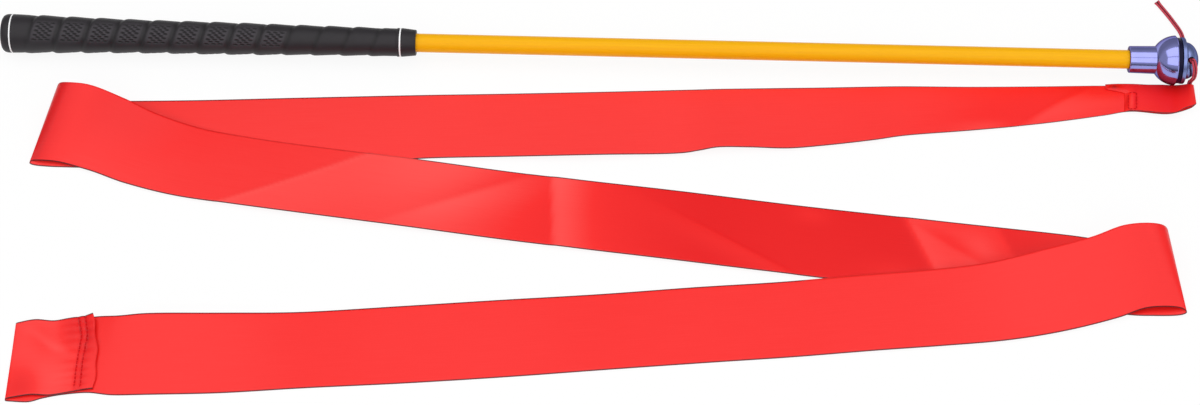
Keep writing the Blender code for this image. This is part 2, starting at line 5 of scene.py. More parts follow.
import bmesh
import bpy
import numpy as np
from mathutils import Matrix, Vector


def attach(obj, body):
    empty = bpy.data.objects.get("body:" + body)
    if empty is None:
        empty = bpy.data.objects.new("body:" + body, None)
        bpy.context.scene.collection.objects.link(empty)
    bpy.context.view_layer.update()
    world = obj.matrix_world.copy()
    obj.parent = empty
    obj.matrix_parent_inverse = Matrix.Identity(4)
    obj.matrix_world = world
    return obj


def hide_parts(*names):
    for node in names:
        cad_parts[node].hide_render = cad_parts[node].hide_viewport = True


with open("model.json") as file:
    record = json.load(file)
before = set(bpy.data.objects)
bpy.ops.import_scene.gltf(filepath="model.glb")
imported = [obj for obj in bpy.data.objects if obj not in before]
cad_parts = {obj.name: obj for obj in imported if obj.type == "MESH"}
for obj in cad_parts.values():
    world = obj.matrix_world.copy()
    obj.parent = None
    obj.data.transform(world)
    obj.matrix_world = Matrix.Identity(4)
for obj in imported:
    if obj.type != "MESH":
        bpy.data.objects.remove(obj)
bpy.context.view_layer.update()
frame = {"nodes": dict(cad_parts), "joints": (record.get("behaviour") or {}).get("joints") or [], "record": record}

# Camera
# A long lens stands 1.7 m from the floor under the middle of the picture, a little to the
# right of the wand's middle, and looks down on it at 55 degrees.
AIM = Vector((0.0053, 0.0126, 0.0))
DISTANCE = 1.7
AZIMUTH = np.radians(1.91)
ELEVATION = np.radians(55)
PICTURE_WIDTH = 1200
FOCAL_PIXELS = 2725.6
SENSOR_WIDTH = 36.0


def set_out(name, data):
    """A new object of a mesh, lamp or lens, linked into the scene."""
    made = bpy.data.objects.new(name, data)
    bpy.context.scene.collection.objects.link(made)
    return made


lens = bpy.data.cameras.new("camera")
lens.sensor_width = SENSOR_WIDTH
lens.sensor_fit = "HORIZONTAL"
lens.lens = SENSOR_WIDTH * FOCAL_PIXELS / PICTURE_WIDTH
camera = set_out("camera", lens)
towards = Vector((np.sin(AZIMUTH) * np.cos(ELEVATION), -np.cos(AZIMUTH) * np.cos(ELEVATION),
                  np.sin(ELEVATION)))
camera.location = AIM + DISTANCE * towards
camera.rotation_euler = towards.to_track_quat("Z", "Y").to_euler()
bpy.context.scene.camera = camera
bpy.context.scene.view_settings.view_transform = "Standard"

# Grip sleeve
# A golf-style rubber sleeve, moulded to look like wrapped tape and slid on over the rod.
# Its bands overlap in a left-hand spiral, and those under the hand carry pressed dimples.
MM = 0.001
BUTT = np.array(frame["record"]["mounts"][0]["pos_m"])
SPIN = next(joint for joint in frame["joints"] if joint["name"] == "swivel_spin")
ALONG = np.array(SPIN["axis"])
SIDE = np.array((0.0, 1.0, 0.0))
UP = np.cross(ALONG, SIDE)

GRIP_START = 7.1
GRIP_CAP = 6.0
WAIST = 133.0
BUTT_RADIUS, WAIST_RADIUS, FRONT_RADIUS, COLLAR_RADIUS = 12.5, 10.3, 8.9, 9.25
COLLAR_START, COLLAR_RAMP = 255.1, 0.3
RING_START, RING_END, RING_FLOOR = 256.7, 258.2, 8.05
BEVEL_LENGTH, BEVEL_DEPTH = 0.2, 0.15
MOUTH_END, MOUTH_RADIUS = 267.5, 8.3
MOUTH_ROUNDING = ((0.35, 0.0), (0.1, 0.12), (0.0, 0.35))
ROD_BORE, BORE_CHAMFER = 6.25, 0.3
WRAP_PITCH, WRAP_START, WRAP_END = 18.55, 20.5, 250.0
STEP_HEIGHT, STEP_WIDTH, GROOVE_DEPTH, WRAP_FADE = 1.0, 1.5, 0.5, 8.0
GROOVE_SHADE, DIMPLE_SHADE_AND_HIGHLIGHT = 0.55, 2.2
PATCHES_PER_TURN = 3
PATCH_TURN = -28 / 360
PATCH_END, FINE_END = 178.0, 182.0
DIMPLE_STEP, DIMPLE_ROW, DIMPLE_ROWS = 4.3, 1.45, 4
DIMPLE_LENGTH, DIMPLE_WIDTH, DIMPLE_DEPTH, DIMPLE_SKEW = 1.25, 0.5, 0.6, 0.2
PATCH_REACH, PATCH_MARGIN, PATCH_RISE = 6.4, 1.0, 0.2
FINE_ROWS, PLAIN_ROWS, GRIP_COLUMNS = 350, 70, 224
SHARP_ANGLE = np.radians(40)


def linear(code):
    """An sRGB hex colour as linear RGBA."""
    srgb = np.array([int(code[i:i + 2], 16) for i in (1, 3, 5)]) / 255
    rgb = np.where(srgb <= 0.04045, srgb / 12.92, ((srgb + 0.055) / 1.055) ** 2.4)
    return (*rgb.tolist(), 1.0)


def node(tree, kind, inputs=None, **settings):
    """Add a node with its settings, and give its inputs values or links."""
    new = tree.nodes.new(kind)
    for key, value in settings.items():
        setattr(new, key, value)
    for key, value in (inputs or {}).items():
        if isinstance(value, bpy.types.NodeSocket):
            tree.links.new(value, new.inputs[key])
        else:
            new.inputs[key].default_value = value
    return new


def surface(name, values):
    """A Principled material with these socket values: its material, tree and shader."""
    made = bpy.data.materials.new(name)
    made.use_nodes = True
    shader = made.node_tree.nodes["Principled BSDF"]
    for key, value in values.items():
        shader.inputs[key].default_value = value
    return made, made.node_tree, shader


def skin(name, points, round_rows=False):
    """Quads between neighbours on grids of points, shaped (grids, rows, columns, 3).

    Columns run round a tube and join up; rows join up too where round_rows is set.
    """
    grids, rows, columns = points.shape[:3]
    index = np.arange(grids * rows * columns).reshape(grids, rows, columns)
    index = np.concatenate((index, index[:, :, :1]), 2)
    if round_rows:
        index = np.concatenate((index, index[:, :1]), 1)
    quads = np.stack((index[:, :-1, :-1], index[:, 1:, :-1], index[:, 1:, 1:],
                      index[:, :-1, 1:]), -1)
    return add_piece(name, points.reshape(-1, 3), quads.reshape(-1, 4))


def add_piece(name, points, quads):
    """A smooth mesh object of these points and quads, with its double points merged."""
    mesh = bpy.data.meshes.new(name)
    mesh.from_pydata(points, [], quads)
    bm = bmesh.new()
    bm.from_mesh(mesh)
    bmesh.ops.remove_doubles(bm, verts=bm.verts, dist=1e-7)
    bm.to_mesh(mesh)
    bm.free()
    mesh.shade_smooth()
    return set_out(name, mesh)


def paint(piece, name, values):
    """Give each point of a piece a value, which its material reads by this name."""
    piece.data.attributes.new(name, "FLOAT", "POINT").data.foreach_set("value", values)


def circle(count):
    """Even angles once round, in radians from 0."""
    return np.linspace(0, 2 * np.pi, count, endpoint=False)


def round_wand(x, radius, turn):
    """Points at x along the wand, at a radius and at a turn from its top to its far side."""
    spoke = np.sin(turn)[..., None] * SIDE + np.cos(turn)[..., None] * UP
    return BUTT + MM * (x[..., None] * ALONG + radius[..., None] * spoke)


def grip_radius(x):
    """Quarter sine from the butt to the waist, then a straight taper to the front."""
    rear = np.sin(np.clip((x - GRIP_CAP) / (WAIST - GRIP_CAP), 0, 1) * np.pi / 2)
    front = np.clip((x - WAIST) / (COLLAR_START - WAIST), 0, 1)
    return BUTT_RADIUS + (WAIST_RADIUS - BUTT_RADIUS) * rear + (
        FRONT_RADIUS - WAIST_RADIUS) * front


def wrap_relief(x, turns):
    """Height of the wrapped bands, and how far into the groove between them each point lies.

    A band steps up at each groove, then falls evenly to the next.
    """
    phase = (x - WRAP_START) / WRAP_PITCH - turns
    past = (phase - np.floor(phase)) * WRAP_PITCH
    before = WRAP_PITCH - past
    band = STEP_HEIGHT * (0.5 - past / WRAP_PITCH)
    step = STEP_HEIGHT * 0.5 * (np.exp(-before / STEP_WIDTH) - np.exp(-past / STEP_WIDTH))
    fade = np.clip(np.minimum(x - WRAP_START + WRAP_FADE, WRAP_END - x) / WRAP_FADE, 0, 1)
    groove = fade * np.exp(-(np.minimum(past, before) / STEP_WIDTH) ** 2)
    return fade * (band + step) - GROOVE_DEPTH * groove, groove


def dimple_relief(x, turns, radius):
    """Depth of the dimples: short dashes in brick rows, on a raised patch in each band."""
    patch = np.round((turns - PATCH_TURN) * PATCHES_PER_TURN) / PATCHES_PER_TURN + PATCH_TURN
    band = np.round((x - WRAP_START) / WRAP_PITCH - turns - 0.5)
    middle = WRAP_START + WRAP_PITCH * (band + 0.5 + turns)
    off_x, off_arc = x - middle, (turns - patch) * 2 * np.pi * radius
    row = np.clip(np.round(off_arc / DIMPLE_ROW), -DIMPLE_ROWS, DIMPLE_ROWS)
    stagger = 0.5 * (row % 2)
    column = np.round(off_x / DIMPLE_STEP - stagger) + stagger
    along = (off_x - column * DIMPLE_STEP) / DIMPLE_LENGTH
    across = (off_arc - row * DIMPLE_ROW + DIMPLE_SKEW * along) / DIMPLE_WIDTH
    dash = np.exp(-along ** 4 - across ** 4) * (np.abs(column * DIMPLE_STEP) < PATCH_REACH)
    raised = np.exp(-(off_x / (PATCH_REACH + PATCH_MARGIN)) ** 6
                    - (off_arc / (DIMPLE_ROW * (DIMPLE_ROWS + 1))) ** 6)
    inside = (middle > WRAP_START) & (middle < PATCH_END)
    return inside * (PATCH_RISE * raised - DIMPLE_DEPTH * dash)


turn = circle(GRIP_COLUMNS)
body_x = np.concatenate((np.linspace(GRIP_START, FINE_END, FINE_ROWS, endpoint=False),
                         np.linspace(FINE_END, COLLAR_START, PLAIN_ROWS)))
wrapped_x, wrapped_turn = np.meshgrid(body_x, turn / (2 * np.pi), indexing="ij")
plain_radius = grip_radius(wrapped_x)
dimples = dimple_relief(wrapped_x, wrapped_turn, plain_radius)
bands, grooves = wrap_relief(wrapped_x, wrapped_turn)
relief = bands + dimples
collar = np.array((
    (COLLAR_START + COLLAR_RAMP, COLLAR_RADIUS), (RING_START - BEVEL_LENGTH, COLLAR_RADIUS),
    (RING_START, COLLAR_RADIUS - BEVEL_DEPTH), (RING_START, RING_FLOOR), (RING_END, RING_FLOOR),
    (RING_END, COLLAR_RADIUS - BEVEL_DEPTH), (RING_END + BEVEL_LENGTH, COLLAR_RADIUS),
    *((MOUTH_END - behind, MOUTH_RADIUS - inside) for behind, inside in MOUTH_ROUNDING),
    (MOUTH_END, ROD_BORE + BORE_CHAMFER), (MOUTH_END - BORE_CHAMFER, ROD_BORE),
    (GRIP_START, ROD_BORE)))
grip_x = np.concatenate((wrapped_x, np.repeat(collar[:, :1], GRIP_COLUMNS, 1)))
grip_r = np.concatenate((plain_radius + relief, np.repeat(collar[:, 1:], GRIP_COLUMNS, 1)))
sleeve = skin("moulded_grip", round_wand(grip_x, grip_r, turn[None, :])[None], round_rows=True)
sleeve.data.set_sharp_from_angle(angle=SHARP_ANGLE)
# Painted shade in the grooves and dimples, and a painted highlight on the raised patches, as one value per point.
shade = np.zeros(len(sleeve.data.vertices))
shade[:relief.size] = np.clip(GROOVE_SHADE * grooves - DIMPLE_SHADE_AND_HIGHLIGHT * dimples, -1, 1).ravel()
paint(sleeve, "painted_shading", shade)

# Moulded natural rubber: a dull charcoal with a dry, dusty face, with painted shade in its grooves
# and dimples and a painted highlight on its raised patches. The dust lies in clouds of 14 mm,
# and the mould's grain of 0.4 mm is drawn at 0.7 mm, so that it shows.
RUBBER_FACE, RUBBER_DUSTY = linear("#1C191D"), linear("#262227")
RUBBER_PAINTED_SHADE, RUBBER_PAINTED_HIGHLIGHT = linear("#070608"), linear("#4A454C")
DUST_SIZE, GRAIN_SIZE, GRAIN_HEIGHT = 0.014, 0.0007, 0.0002
rubber, tree, shader = surface("moulded_rubber", {"Roughness": 0.5, "IOR": 1.4})
place = node(tree, "ShaderNodeTexCoord").outputs["Object"]
dust = node(tree, "ShaderNodeTexNoise", {"Vector": place, "Scale": 1 / DUST_SIZE, "Detail": 5.0})
grain = node(tree, "ShaderNodeTexNoise", {"Vector": place, "Scale": 1 / GRAIN_SIZE, "Detail": 2.0})
face = node(tree, "ShaderNodeMix", {0: dust.outputs[0], 6: RUBBER_FACE, 7: RUBBER_DUSTY},
            data_type="RGBA")
# Painted shade where the value is above 0, painted highlight where it is below.
depth = node(tree, "ShaderNodeAttribute", attribute_name="painted_shading")
sunk = node(tree, "ShaderNodeMix", {0: depth.outputs["Fac"], 6: face.outputs[2],
                                    7: RUBBER_PAINTED_SHADE}, data_type="RGBA")
raised = node(tree, "ShaderNodeMath", {0: depth.outputs["Fac"], 1: -1.0}, operation="MULTIPLY",
              use_clamp=True)
tone = node(tree, "ShaderNodeMix", {0: raised.outputs[0], 6: sunk.outputs[2],
                                    7: RUBBER_PAINTED_HIGHLIGHT}, data_type="RGBA")
bump = node(tree, "ShaderNodeBump", {"Height": grain.outputs[0], "Strength": 0.25,
                                     "Distance": GRAIN_HEIGHT})
tree.links.new(tone.outputs[2], shader.inputs["Base Color"])
tree.links.new(bump.outputs[0], shader.inputs["Normal"])
sleeve.data.materials.append(rubber)
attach(sleeve, "wand")
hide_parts("grip_sleeve")

# Grip end cap and white rings
# A rubber button closes the butt, with a vent hole in its middle. The two white rings are
# hard plastic, let into the rubber behind the cap and round the collar.
CAP_ROUNDING, CAP_EDGE = 4.5, 0.3
VENT_RADIUS, VENT_DEPTH = 1.2, 3.0
NECK_END, NECK_RADIUS = 10.0, 9.8
REAR_RING = GRIP_CAP + 0.05, GRIP_CAP + 0.95
FRONT_RING = RING_START + 0.3, RING_END - 0.2
RING_PROUD, RING_CLEARANCE, RING_EDGE = 0.08, 0.2, 0.25
CURVE_POINTS, CURVE_HOLD = 7, 1.25
TURN_STEPS = 128


def unit(vectors):
    """Rows of vectors, each divided by its own length."""
    return vectors / np.linalg.norm(vectors, axis=1, keepdims=True)


def rounded(corners):
    """Round each corner (x, radius, rounding) of a profile with a quadratic curve.

    A point a quarter further out holds the flat beside each curve, and a rounding of 0
    leaves the corner sharp.
    """
    corners = np.array(corners, float)
    middle, size = corners[:, :2], corners[:, 2:]
    back, ahead = unit(np.roll(middle, 1, 0) - middle), unit(np.roll(middle, -1, 0) - middle)
    t = np.linspace(0, 1, CURVE_POINTS)[None, :, None]
    start, end = (middle + size * back)[:, None], (middle + size * ahead)[:, None]
    curve = (1 - t) ** 2 * start + 2 * t * (1 - t) * middle[:, None] + t ** 2 * end
    wide_start, wide_end = middle + CURVE_HOLD * size * back, middle + CURVE_HOLD * size * ahead
    line = np.concatenate((wide_start[:, None], curve, wide_end[:, None]), 1).reshape(-1, 2)
    moved = np.linalg.norm(np.diff(line, axis=0), axis=1) > 1e-6
    return line[np.concatenate(([True], moved))]


def turned(name, profile, closed=True):
    """Spin a profile of (x, radius) once round the wand's axis."""
    points = round_wand(profile[:, :1], profile[:, 1:], circle(TURN_STEPS)[None, :])
    piece = skin(name, points[None], round_rows=closed)
    piece.data.set_sharp_from_angle(angle=SHARP_ANGLE)
    return piece


cap = turned("end_cap", rounded((
    (VENT_DEPTH, 0, 0), (VENT_DEPTH, VENT_RADIUS, 0), (0, VENT_RADIUS, CAP_EDGE),
    (0, BUTT_RADIUS, CAP_ROUNDING), (GRIP_CAP, BUTT_RADIUS, CAP_EDGE), (GRIP_CAP, NECK_RADIUS, 0),
    (NECK_END, NECK_RADIUS, 0), (NECK_END, 0, 0))), closed=False)
cap.data.materials.append(rubber)
# The cap carries the painted shading at 0: none is painted on it.
cap.data.attributes.new("painted_shading", "FLOAT", "POINT")
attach(cap, "wand")
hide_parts("grip_end_cap")


def mottled(name, values, dark, pale, size, detail=2.0):
    """A Principled material whose colour drifts between two tones, in patches of a size."""
    made, tree, shader = surface(name, values)
    place = node(tree, "ShaderNodeTexCoord").outputs["Object"]
    patches = node(tree, "ShaderNodeTexNoise", {"Vector": place, "Scale": 1 / size,
                                                "Detail": detail})
    tone = node(tree, "ShaderNodeMix", {0: patches.outputs[0], 6: linear(dark), 7: linear(pale)},
                data_type="RGBA")
    tree.links.new(tone.outputs[2], shader.inputs["Base Color"])
    return made


# Moulded ABS: a clean white with a satin face, and the faintest mottle of 1 mm.
white_plastic = mottled("moulded_white_abs", {"Roughness": 0.35, "IOR": 1.54}, "#F4F4F6",
                        "#FFFFFF", size=0.001)

for name, replaced, (start, end), floor_radius, flush_radius in (
        ("rear_ring", "grip_rear_ring", REAR_RING, NECK_RADIUS, BUTT_RADIUS),
        ("front_ring", "grip_front_ring", FRONT_RING, RING_FLOOR, COLLAR_RADIUS)):
    inner, outer = floor_radius + RING_CLEARANCE, flush_radius + RING_PROUD
    ring = turned(name, rounded(((start, inner, 0), (start, outer, RING_EDGE),
                                 (end, outer, RING_EDGE), (end, inner, 0))))
    ring.data.materials.append(white_plastic)
    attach(ring, "wand")
    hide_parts(replaced)

# Rod
# A pulled glass-fibre tube, 12 mm thick, pigmented amber right through and polished. It
# runs from the end cap to the web inside the head's ferrule.
ROD_START, ROD_END = 10.2, 740.2
ROD_RADIUS, ROD_WALL = 6.0, 2.0
ROD_EDGE, BORE_EDGE = 0.4, 0.2

rod = turned("fibre_rod", rounded((
    (ROD_START, ROD_RADIUS - ROD_WALL, BORE_EDGE), (ROD_START, ROD_RADIUS, ROD_EDGE),
    (ROD_END, ROD_RADIUS, ROD_EDGE), (ROD_END, ROD_RADIUS - ROD_WALL, BORE_EDGE))))

# Glass-fibre epoxy: a warm amber with a dull polish, with fibre streaks 60 mm long that show
# as faint lines of lighter and darker yellow. They are 0.5 mm wide, drawn at 0.9 mm to show.
STREAK_LENGTH, STREAK_WIDTH = 60, 0.9
amber, tree, shader = surface("amber_glass_fibre", {"Roughness": 0.34, "IOR": 1.23})
place = node(tree, "ShaderNodeTexCoord").outputs["Object"]
stretch = node(tree, "ShaderNodeMapping", {
    "Vector": place, "Scale": (1 / STREAK_LENGTH, 1 / STREAK_WIDTH, 1 / STREAK_WIDTH)})
streak = node(tree, "ShaderNodeTexNoise", {"Vector": stretch.outputs[0], "Scale": 1 / MM,
                                           "Detail": 3.0})
tone = node(tree, "ShaderNodeMix", {0: streak.outputs[0], 6: linear("#EFA703"),
                                    7: linear("#F8B90C")}, data_type="RGBA")
tree.links.new(tone.outputs[2], shader.inputs["Base Color"])
rod.data.materials.append(amber)
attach(rod, "wand")
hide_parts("rod")

# Head housing
# One piece of aluminium, turned to a ferrule for the rod and a half-ball bell round the
# bearing, polished and anodised violet.
FERRULE_START, FERRULE_RADIUS, FERRULE_EDGE = 724.4, 8.6, 0.7
BELL_RADIUS, BELL_RIM, BELL_SETBACK = 16.0, 754.1, 0.4
BELL_CENTRE = BELL_RIM + BELL_SETBACK
LIP_TURN, LIP_STEP = 0.045, 0.6
SOCKET_END, SOCKET_RADIUS, SOCKET_EDGE = 740.4, 6.2, 0.2
SEAT_START, SEAT_RADIUS = 746.4, 9.6
BELL_STEPS = 40

join = np.pi - np.arcsin(FERRULE_RADIUS / BELL_RADIUS)
lip = np.arccos(-BELL_SETBACK / BELL_RADIUS) + LIP_TURN
sweep = np.linspace(join, lip, BELL_STEPS)
bell = np.stack((BELL_CENTRE + BELL_RADIUS * np.cos(sweep), BELL_RADIUS * np.sin(sweep)), 1)
ferrule = rounded(((FERRULE_START, SOCKET_RADIUS, SOCKET_EDGE),
                   (FERRULE_START, FERRULE_RADIUS, FERRULE_EDGE),
                   (bell[0, 0], FERRULE_RADIUS, 0), (bell[0, 0], SOCKET_RADIUS, 0)))[:-2]
bore = np.array(((BELL_RIM, BELL_RADIUS - LIP_STEP), (BELL_RIM, SEAT_RADIUS),
                 (SEAT_START, SEAT_RADIUS), (SOCKET_END, SOCKET_RADIUS)))
housing = turned("polished_bell", np.concatenate((ferrule, bell[1:], bore)))

# Anodised aluminium: a violet-blue oxide over bright metal, which mirrors the room softly.
# The lathe left rings 0.15 mm apart, drawn at 0.5 mm so that they show.
EDGE_TINT = linear("#8A7C7C")
LATHE_PITCH, LATHE_STRETCH, LATHE_HEIGHT = 0.5, 0.02, 0.0001
DRIFT_SIZE = 0.012


def anodised(name, pale, deep, roughness):
    """Coloured metal with lathe rings along X and a slight drift of tone."""
    made, tree, shader = surface(name, {"Metallic": 1.0, "Roughness": roughness,
                                        "Specular Tint": EDGE_TINT})
    place = node(tree, "ShaderNodeTexCoord").outputs["Object"]
    rings = node(tree, "ShaderNodeMapping", {
        "Vector": place, "Scale": (1 / LATHE_PITCH, LATHE_STRETCH, LATHE_STRETCH)})
    lathe = node(tree, "ShaderNodeTexNoise", {"Vector": rings.outputs[0], "Scale": 1 / MM,
                                              "Detail": 2.0})
    drift = node(tree, "ShaderNodeTexNoise", {"Vector": place, "Scale": 1 / DRIFT_SIZE})
    tone = node(tree, "ShaderNodeMix", {0: drift.outputs[0], 6: linear(deep), 7: linear(pale)},
                data_type="RGBA")
    bump = node(tree, "ShaderNodeBump", {"Height": lathe.outputs[0], "Strength": 0.04,
                                         "Distance": LATHE_HEIGHT})
    tree.links.new(tone.outputs[2], shader.inputs["Base Color"])
    tree.links.new(bump.outputs[0], shader.inputs["Normal"])
    return made


violet = anodised("anodised_violet", "#9FA2E4", "#8D90D4", 0.14)
housing.data.materials.append(violet)
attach(housing, "wand")
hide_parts("head_housing")

# Retainer ring
# A black nylon ring, pressed into the bell's mouth, holds the bearing in and shows as a
# dark line between the bell and the turning cap.
RETAINER_START = BELL_RIM + 0.2
RETAINER_END = RETAINER_START + 2.4
RETAINER_RADIUS, RETAINER_BORE, RETAINER_EDGE = 14.6, 5.0, 0.3
SPIGOT_RADIUS, LIP_RADIUS, LIP_HEIGHT = 13.6, 12.6, 0.24

retainer = turned("retainer", rounded((
    (BELL_RIM, RETAINER_BORE, 0), (BELL_RIM, SPIGOT_RADIUS, 0),
    (RETAINER_START, SPIGOT_RADIUS, 0), (RETAINER_START, RETAINER_RADIUS, RETAINER_EDGE),
    (RETAINER_END, RETAINER_RADIUS, RETAINER_EDGE), (RETAINER_END, LIP_RADIUS, 0),
    (RETAINER_END + LIP_HEIGHT, LIP_RADIUS, 0), (RETAINER_END + LIP_HEIGHT, RETAINER_BORE, 0))))

# Moulded nylon: a blue-black with a satin face, clouded in patches of 4 mm.
nylon_black = mottled("moulded_black_nylon", {"Roughness": 0.4, "IOR": 1.25}, "#06041C",
                      "#0E0A36", size=0.004)
retainer.data.materials.append(nylon_black)
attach(retainer, "wand")
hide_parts("retainer_ring")

# Swivel cap
# Turned aluminium again: a flange that runs against the retainer and a dome with a
# cross-hole for the cord. It is screwed to the bearing's inner race and turns freely.
FLANGE_START = RETAINER_END + 0.3
FLANGE_END = FLANGE_START + 2.4
FLANGE_RADIUS, FLANGE_BACK_EDGE, FLANGE_FRONT_EDGE = 14.9, 0.4, 0.5
DOME_START, DOME_RADIUS, DOME_HEIGHT = FLANGE_END + 1.0, 11.8, 8.2
HUB_START, HUB_RADIUS = FLANGE_START - 2.5, 4.4
HOLE_RADIUS = 2.4
DOME_STEPS, DRILL_SIDES = 24, 48
DRILL_REACH = np.linspace(-30, 30, 5)[:, None]
SECTION_LEAN = np.array((0.03, -0.57, 0.82))
PIVOT = next(joint for joint in frame["joints"] if joint["name"] == "cord_pivot")
HOLE = np.array(PIVOT["pos_m"])
HOLE_AXIS = -np.array(PIVOT["axis"])

rise = np.linspace(0, np.pi / 2, DOME_STEPS)
dome = np.stack((DOME_START + DOME_HEIGHT * np.sin(rise), DOME_RADIUS * np.cos(rise)), 1)
flange = rounded(((HUB_START, 0, 0), (HUB_START, HUB_RADIUS, 0), (FLANGE_START, HUB_RADIUS, 0),
                  (FLANGE_START, FLANGE_RADIUS, FLANGE_BACK_EDGE),
                  (FLANGE_END, FLANGE_RADIUS, FLANGE_FRONT_EDGE), (DOME_START, DOME_RADIUS, 0)))
swivel = turned("swivel_dome", np.concatenate((flange, dome[1:])), closed=False)


def frames(path):
    """Two unit normals along a path, square to it, the first nearest to one lean."""
    tangent = unit(np.gradient(path, axis=0))
    normal = unit(SECTION_LEAN - (tangent @ SECTION_LEAN)[:, None] * tangent)
    return normal, np.cross(tangent, normal)


def tube(name, path, radius):
    """Carry a section along a path: radius[i, j] from path point i at the j-th even angle."""
    normal, other = frames(path)
    around = circle(radius.shape[1])[:, None]
    points = path[:, None] + radius[..., None] * (
        np.cos(around) * normal[:, None] + np.sin(around) * other[:, None])
    ends = np.broadcast_to(path[[0, -1], None], (2, radius.shape[1], 3))
    points = np.concatenate((ends[:1], points, ends[1:]))
    return skin(name, points[None, ::-1])


def cut_hole(piece, path, radius):
    """Drill a round hole along a straight path with a Boolean, and keep the result."""
    drill = tube("drill", path, np.full((len(path), DRILL_SIDES), radius))
    boolean = piece.modifiers.new("drill", "BOOLEAN")
    boolean.object = drill
    solid = piece.evaluated_get(bpy.context.evaluated_depsgraph_get())
    drilled = bpy.data.meshes.new_from_object(solid)
    piece.modifiers.clear()
    piece.data = drilled
    bpy.data.objects.remove(drill)
    drilled.set_sharp_from_angle(angle=SHARP_ANGLE)


cut_hole(swivel, HOLE + DRILL_REACH * MM * HOLE_AXIS, HOLE_RADIUS * MM)
slate = anodised("anodised_slate_blue", "#8C9AD0", "#6E7AAE", 0.32)
swivel.data.materials.clear()
swivel.data.materials.append(slate)
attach(swivel, "cap")
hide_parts("swivel_cap")

# Cord
# Two thin plies of crimson polyester laid together, knotted behind the head, threaded
# through the cap's cross-hole and down its front into the ribbon's sewn loop.
CORD_RADIUS = 1.2
PLY_RADIUS, PLY_OFFSET = 0.8, 0.74
PLY_TWIST, TWIST_LENGTH = 0.15, 14
PLY_GROOVE, GROOVE_SLOPE = 1.9, 3.2
CORD_AROUND, LINE_STEPS, TAIL_STEPS = 40, 8, 16
SPLIT_LENGTH, SPLIT_SPREAD, SPLIT_THINNING = 2.6, 0.55, 0.25
MOUTH = 11.45
KNOT_START, KNOT_LENGTH = MOUTH + 1.8, 4.2
LOOP_CLOTH, LOOP_CLEARANCE = 0.5, 0.1
LOOP_FLOOR = LOOP_CLOTH + CORD_RADIUS + LOOP_CLEARANCE
CORD_LEAN = 0.4
# The cord's course in millimetres: along the hole, then x, y and z from its middle, then x, y
# and the lift off the loop's floor, and for the tail x, y and the height.
HOLE_REACHES = (-KNOT_START + 0.2, -MOUTH / 2, MOUTH / 2, MOUTH - 0.3)
CORD_DROP = ((0.9, -8.2, 10.1), (1.2, -10.4, 10.4), (1.6, -12.3, 9.3), (2, -13.3, 7),
             (2.6, -13.1, 1.5), (2.8, -11.9, -2.8), (2.7, -10, -7.1))
CORD_IN_LOOP = ((2.6, -8.7, 4.5), (2.4, -8.3, 3), (2.2, -8.7, 1.5), (2, -9.8, 0.4), (1.8, -11.3, 0),
                (1.4, -16, 0), (-1.2, -21, 0), (-6.5, -24, 0), (-17, -24, 0))
CORD_TAIL = ((0.1, 9.15, 3.9), (0.1, 10.6, 2.4), (0.2, 13, 1.55), (0.4, 17, 1.35), (1.4, 32, 1.35),
             (-3.6, 44, 1.35), (-12.6, 60, 1.35))


def smooth(stations, steps):
    """Centripetal Catmull-Rom curve through rows of values, read at steps[i] per span.

    The first three columns are places, whose distance sets each span's share.
    """
    rows = np.array(stations, float)
    rows = np.concatenate((2 * rows[:1] - rows[1:2], rows, 2 * rows[-1:] - rows[-2:-1]))
    gap = np.sqrt(np.linalg.norm(np.diff(rows[:, :3], axis=0), axis=1) + 1e-9)
    knot = np.concatenate(([0], np.cumsum(gap)))
    span = np.repeat(np.arange(len(steps)), steps)
    part = np.concatenate([np.arange(n) / n for n in steps])
    span, part = np.append(span, len(steps) - 1), np.append(part, 1.0)
    t0, t1, t2, t3 = (knot[span + i][:, None] for i in range(4))
    p0, p1, p2, p3 = (rows[span + i] for i in range(4))
    t = t1 + (t2 - t1) * part[:, None]
    a1 = p0 + (p1 - p0) * (t - t0) / (t1 - t0)
    a2 = p1 + (p2 - p1) * (t - t1) / (t2 - t1)
    a3 = p2 + (p3 - p2) * (t - t2) / (t3 - t2)
    b1 = a1 + (a2 - a1) * (t - t0) / (t2 - t0)
    b2 = a2 + (a3 - a2) * (t - t1) / (t3 - t1)
    return b1 + (b2 - b1) * (t - t1) / (t2 - t1)


def length_along(path):
    """Distance along a path from its first point to each point, summed step by step."""
    return np.concatenate(([0], np.cumsum(np.linalg.norm(np.diff(path, axis=0), axis=1))))


def two_ply(name, path, split=0.0):
    """A tube whose section is two round plies side by side, with a slight twist.

    The plies part by a spread at a split end. The groove between them is kept as painted shade.
    """
    around = circle(CORD_AROUND)
    length = length_along(path)
    lean = around - np.pi / 2 - PLY_TWIST * np.sin(length / (TWIST_LENGTH * MM))[:, None]
    parted = np.clip(1 - (length[-1] - length) / (SPLIT_LENGTH * MM), 0, 1)[:, None]
    apart = PLY_OFFSET + split * parted
    radius = apart * np.abs(np.cos(lean)) + np.sqrt(np.clip(
        (PLY_RADIUS - SPLIT_THINNING * split * parted) ** 2 - (apart * np.sin(lean)) ** 2, 0, None))
    strand = tube(name, path, radius * MM)
    # Painted shade: the groove between the plies is darkened.
    groove = np.clip(PLY_GROOVE - GROOVE_SLOPE * radius / (PLY_OFFSET + PLY_RADIUS), 0, 1)
    paint(strand, "painted_shading", np.concatenate(([0], groove[::-1].ravel(), [0])))
    return strand, float(length[-1])


def floor_place(x, y, z):
    """A point x from the cord hole and y from the wand's axis, at height z, in millimetres."""
    return np.array((HOLE[0] + x * MM, HOLE[1] + y * MM, z * MM))


through = HOLE + MM * np.array(HOLE_REACHES)[:, None] * HOLE_AXIS
through[-2:] += CORD_LEAN * MM * ALONG
drop = HOLE + MM * np.array(CORD_DROP)
loop = [floor_place(x, y, LOOP_FLOOR + lift) for x, y, lift in CORD_IN_LOOP]
route = np.concatenate((through, drop, loop))
line_path = smooth(route, np.full(len(route) - 1, LINE_STEPS))
cord_line, line_length = two_ply("cord_strand", line_path)

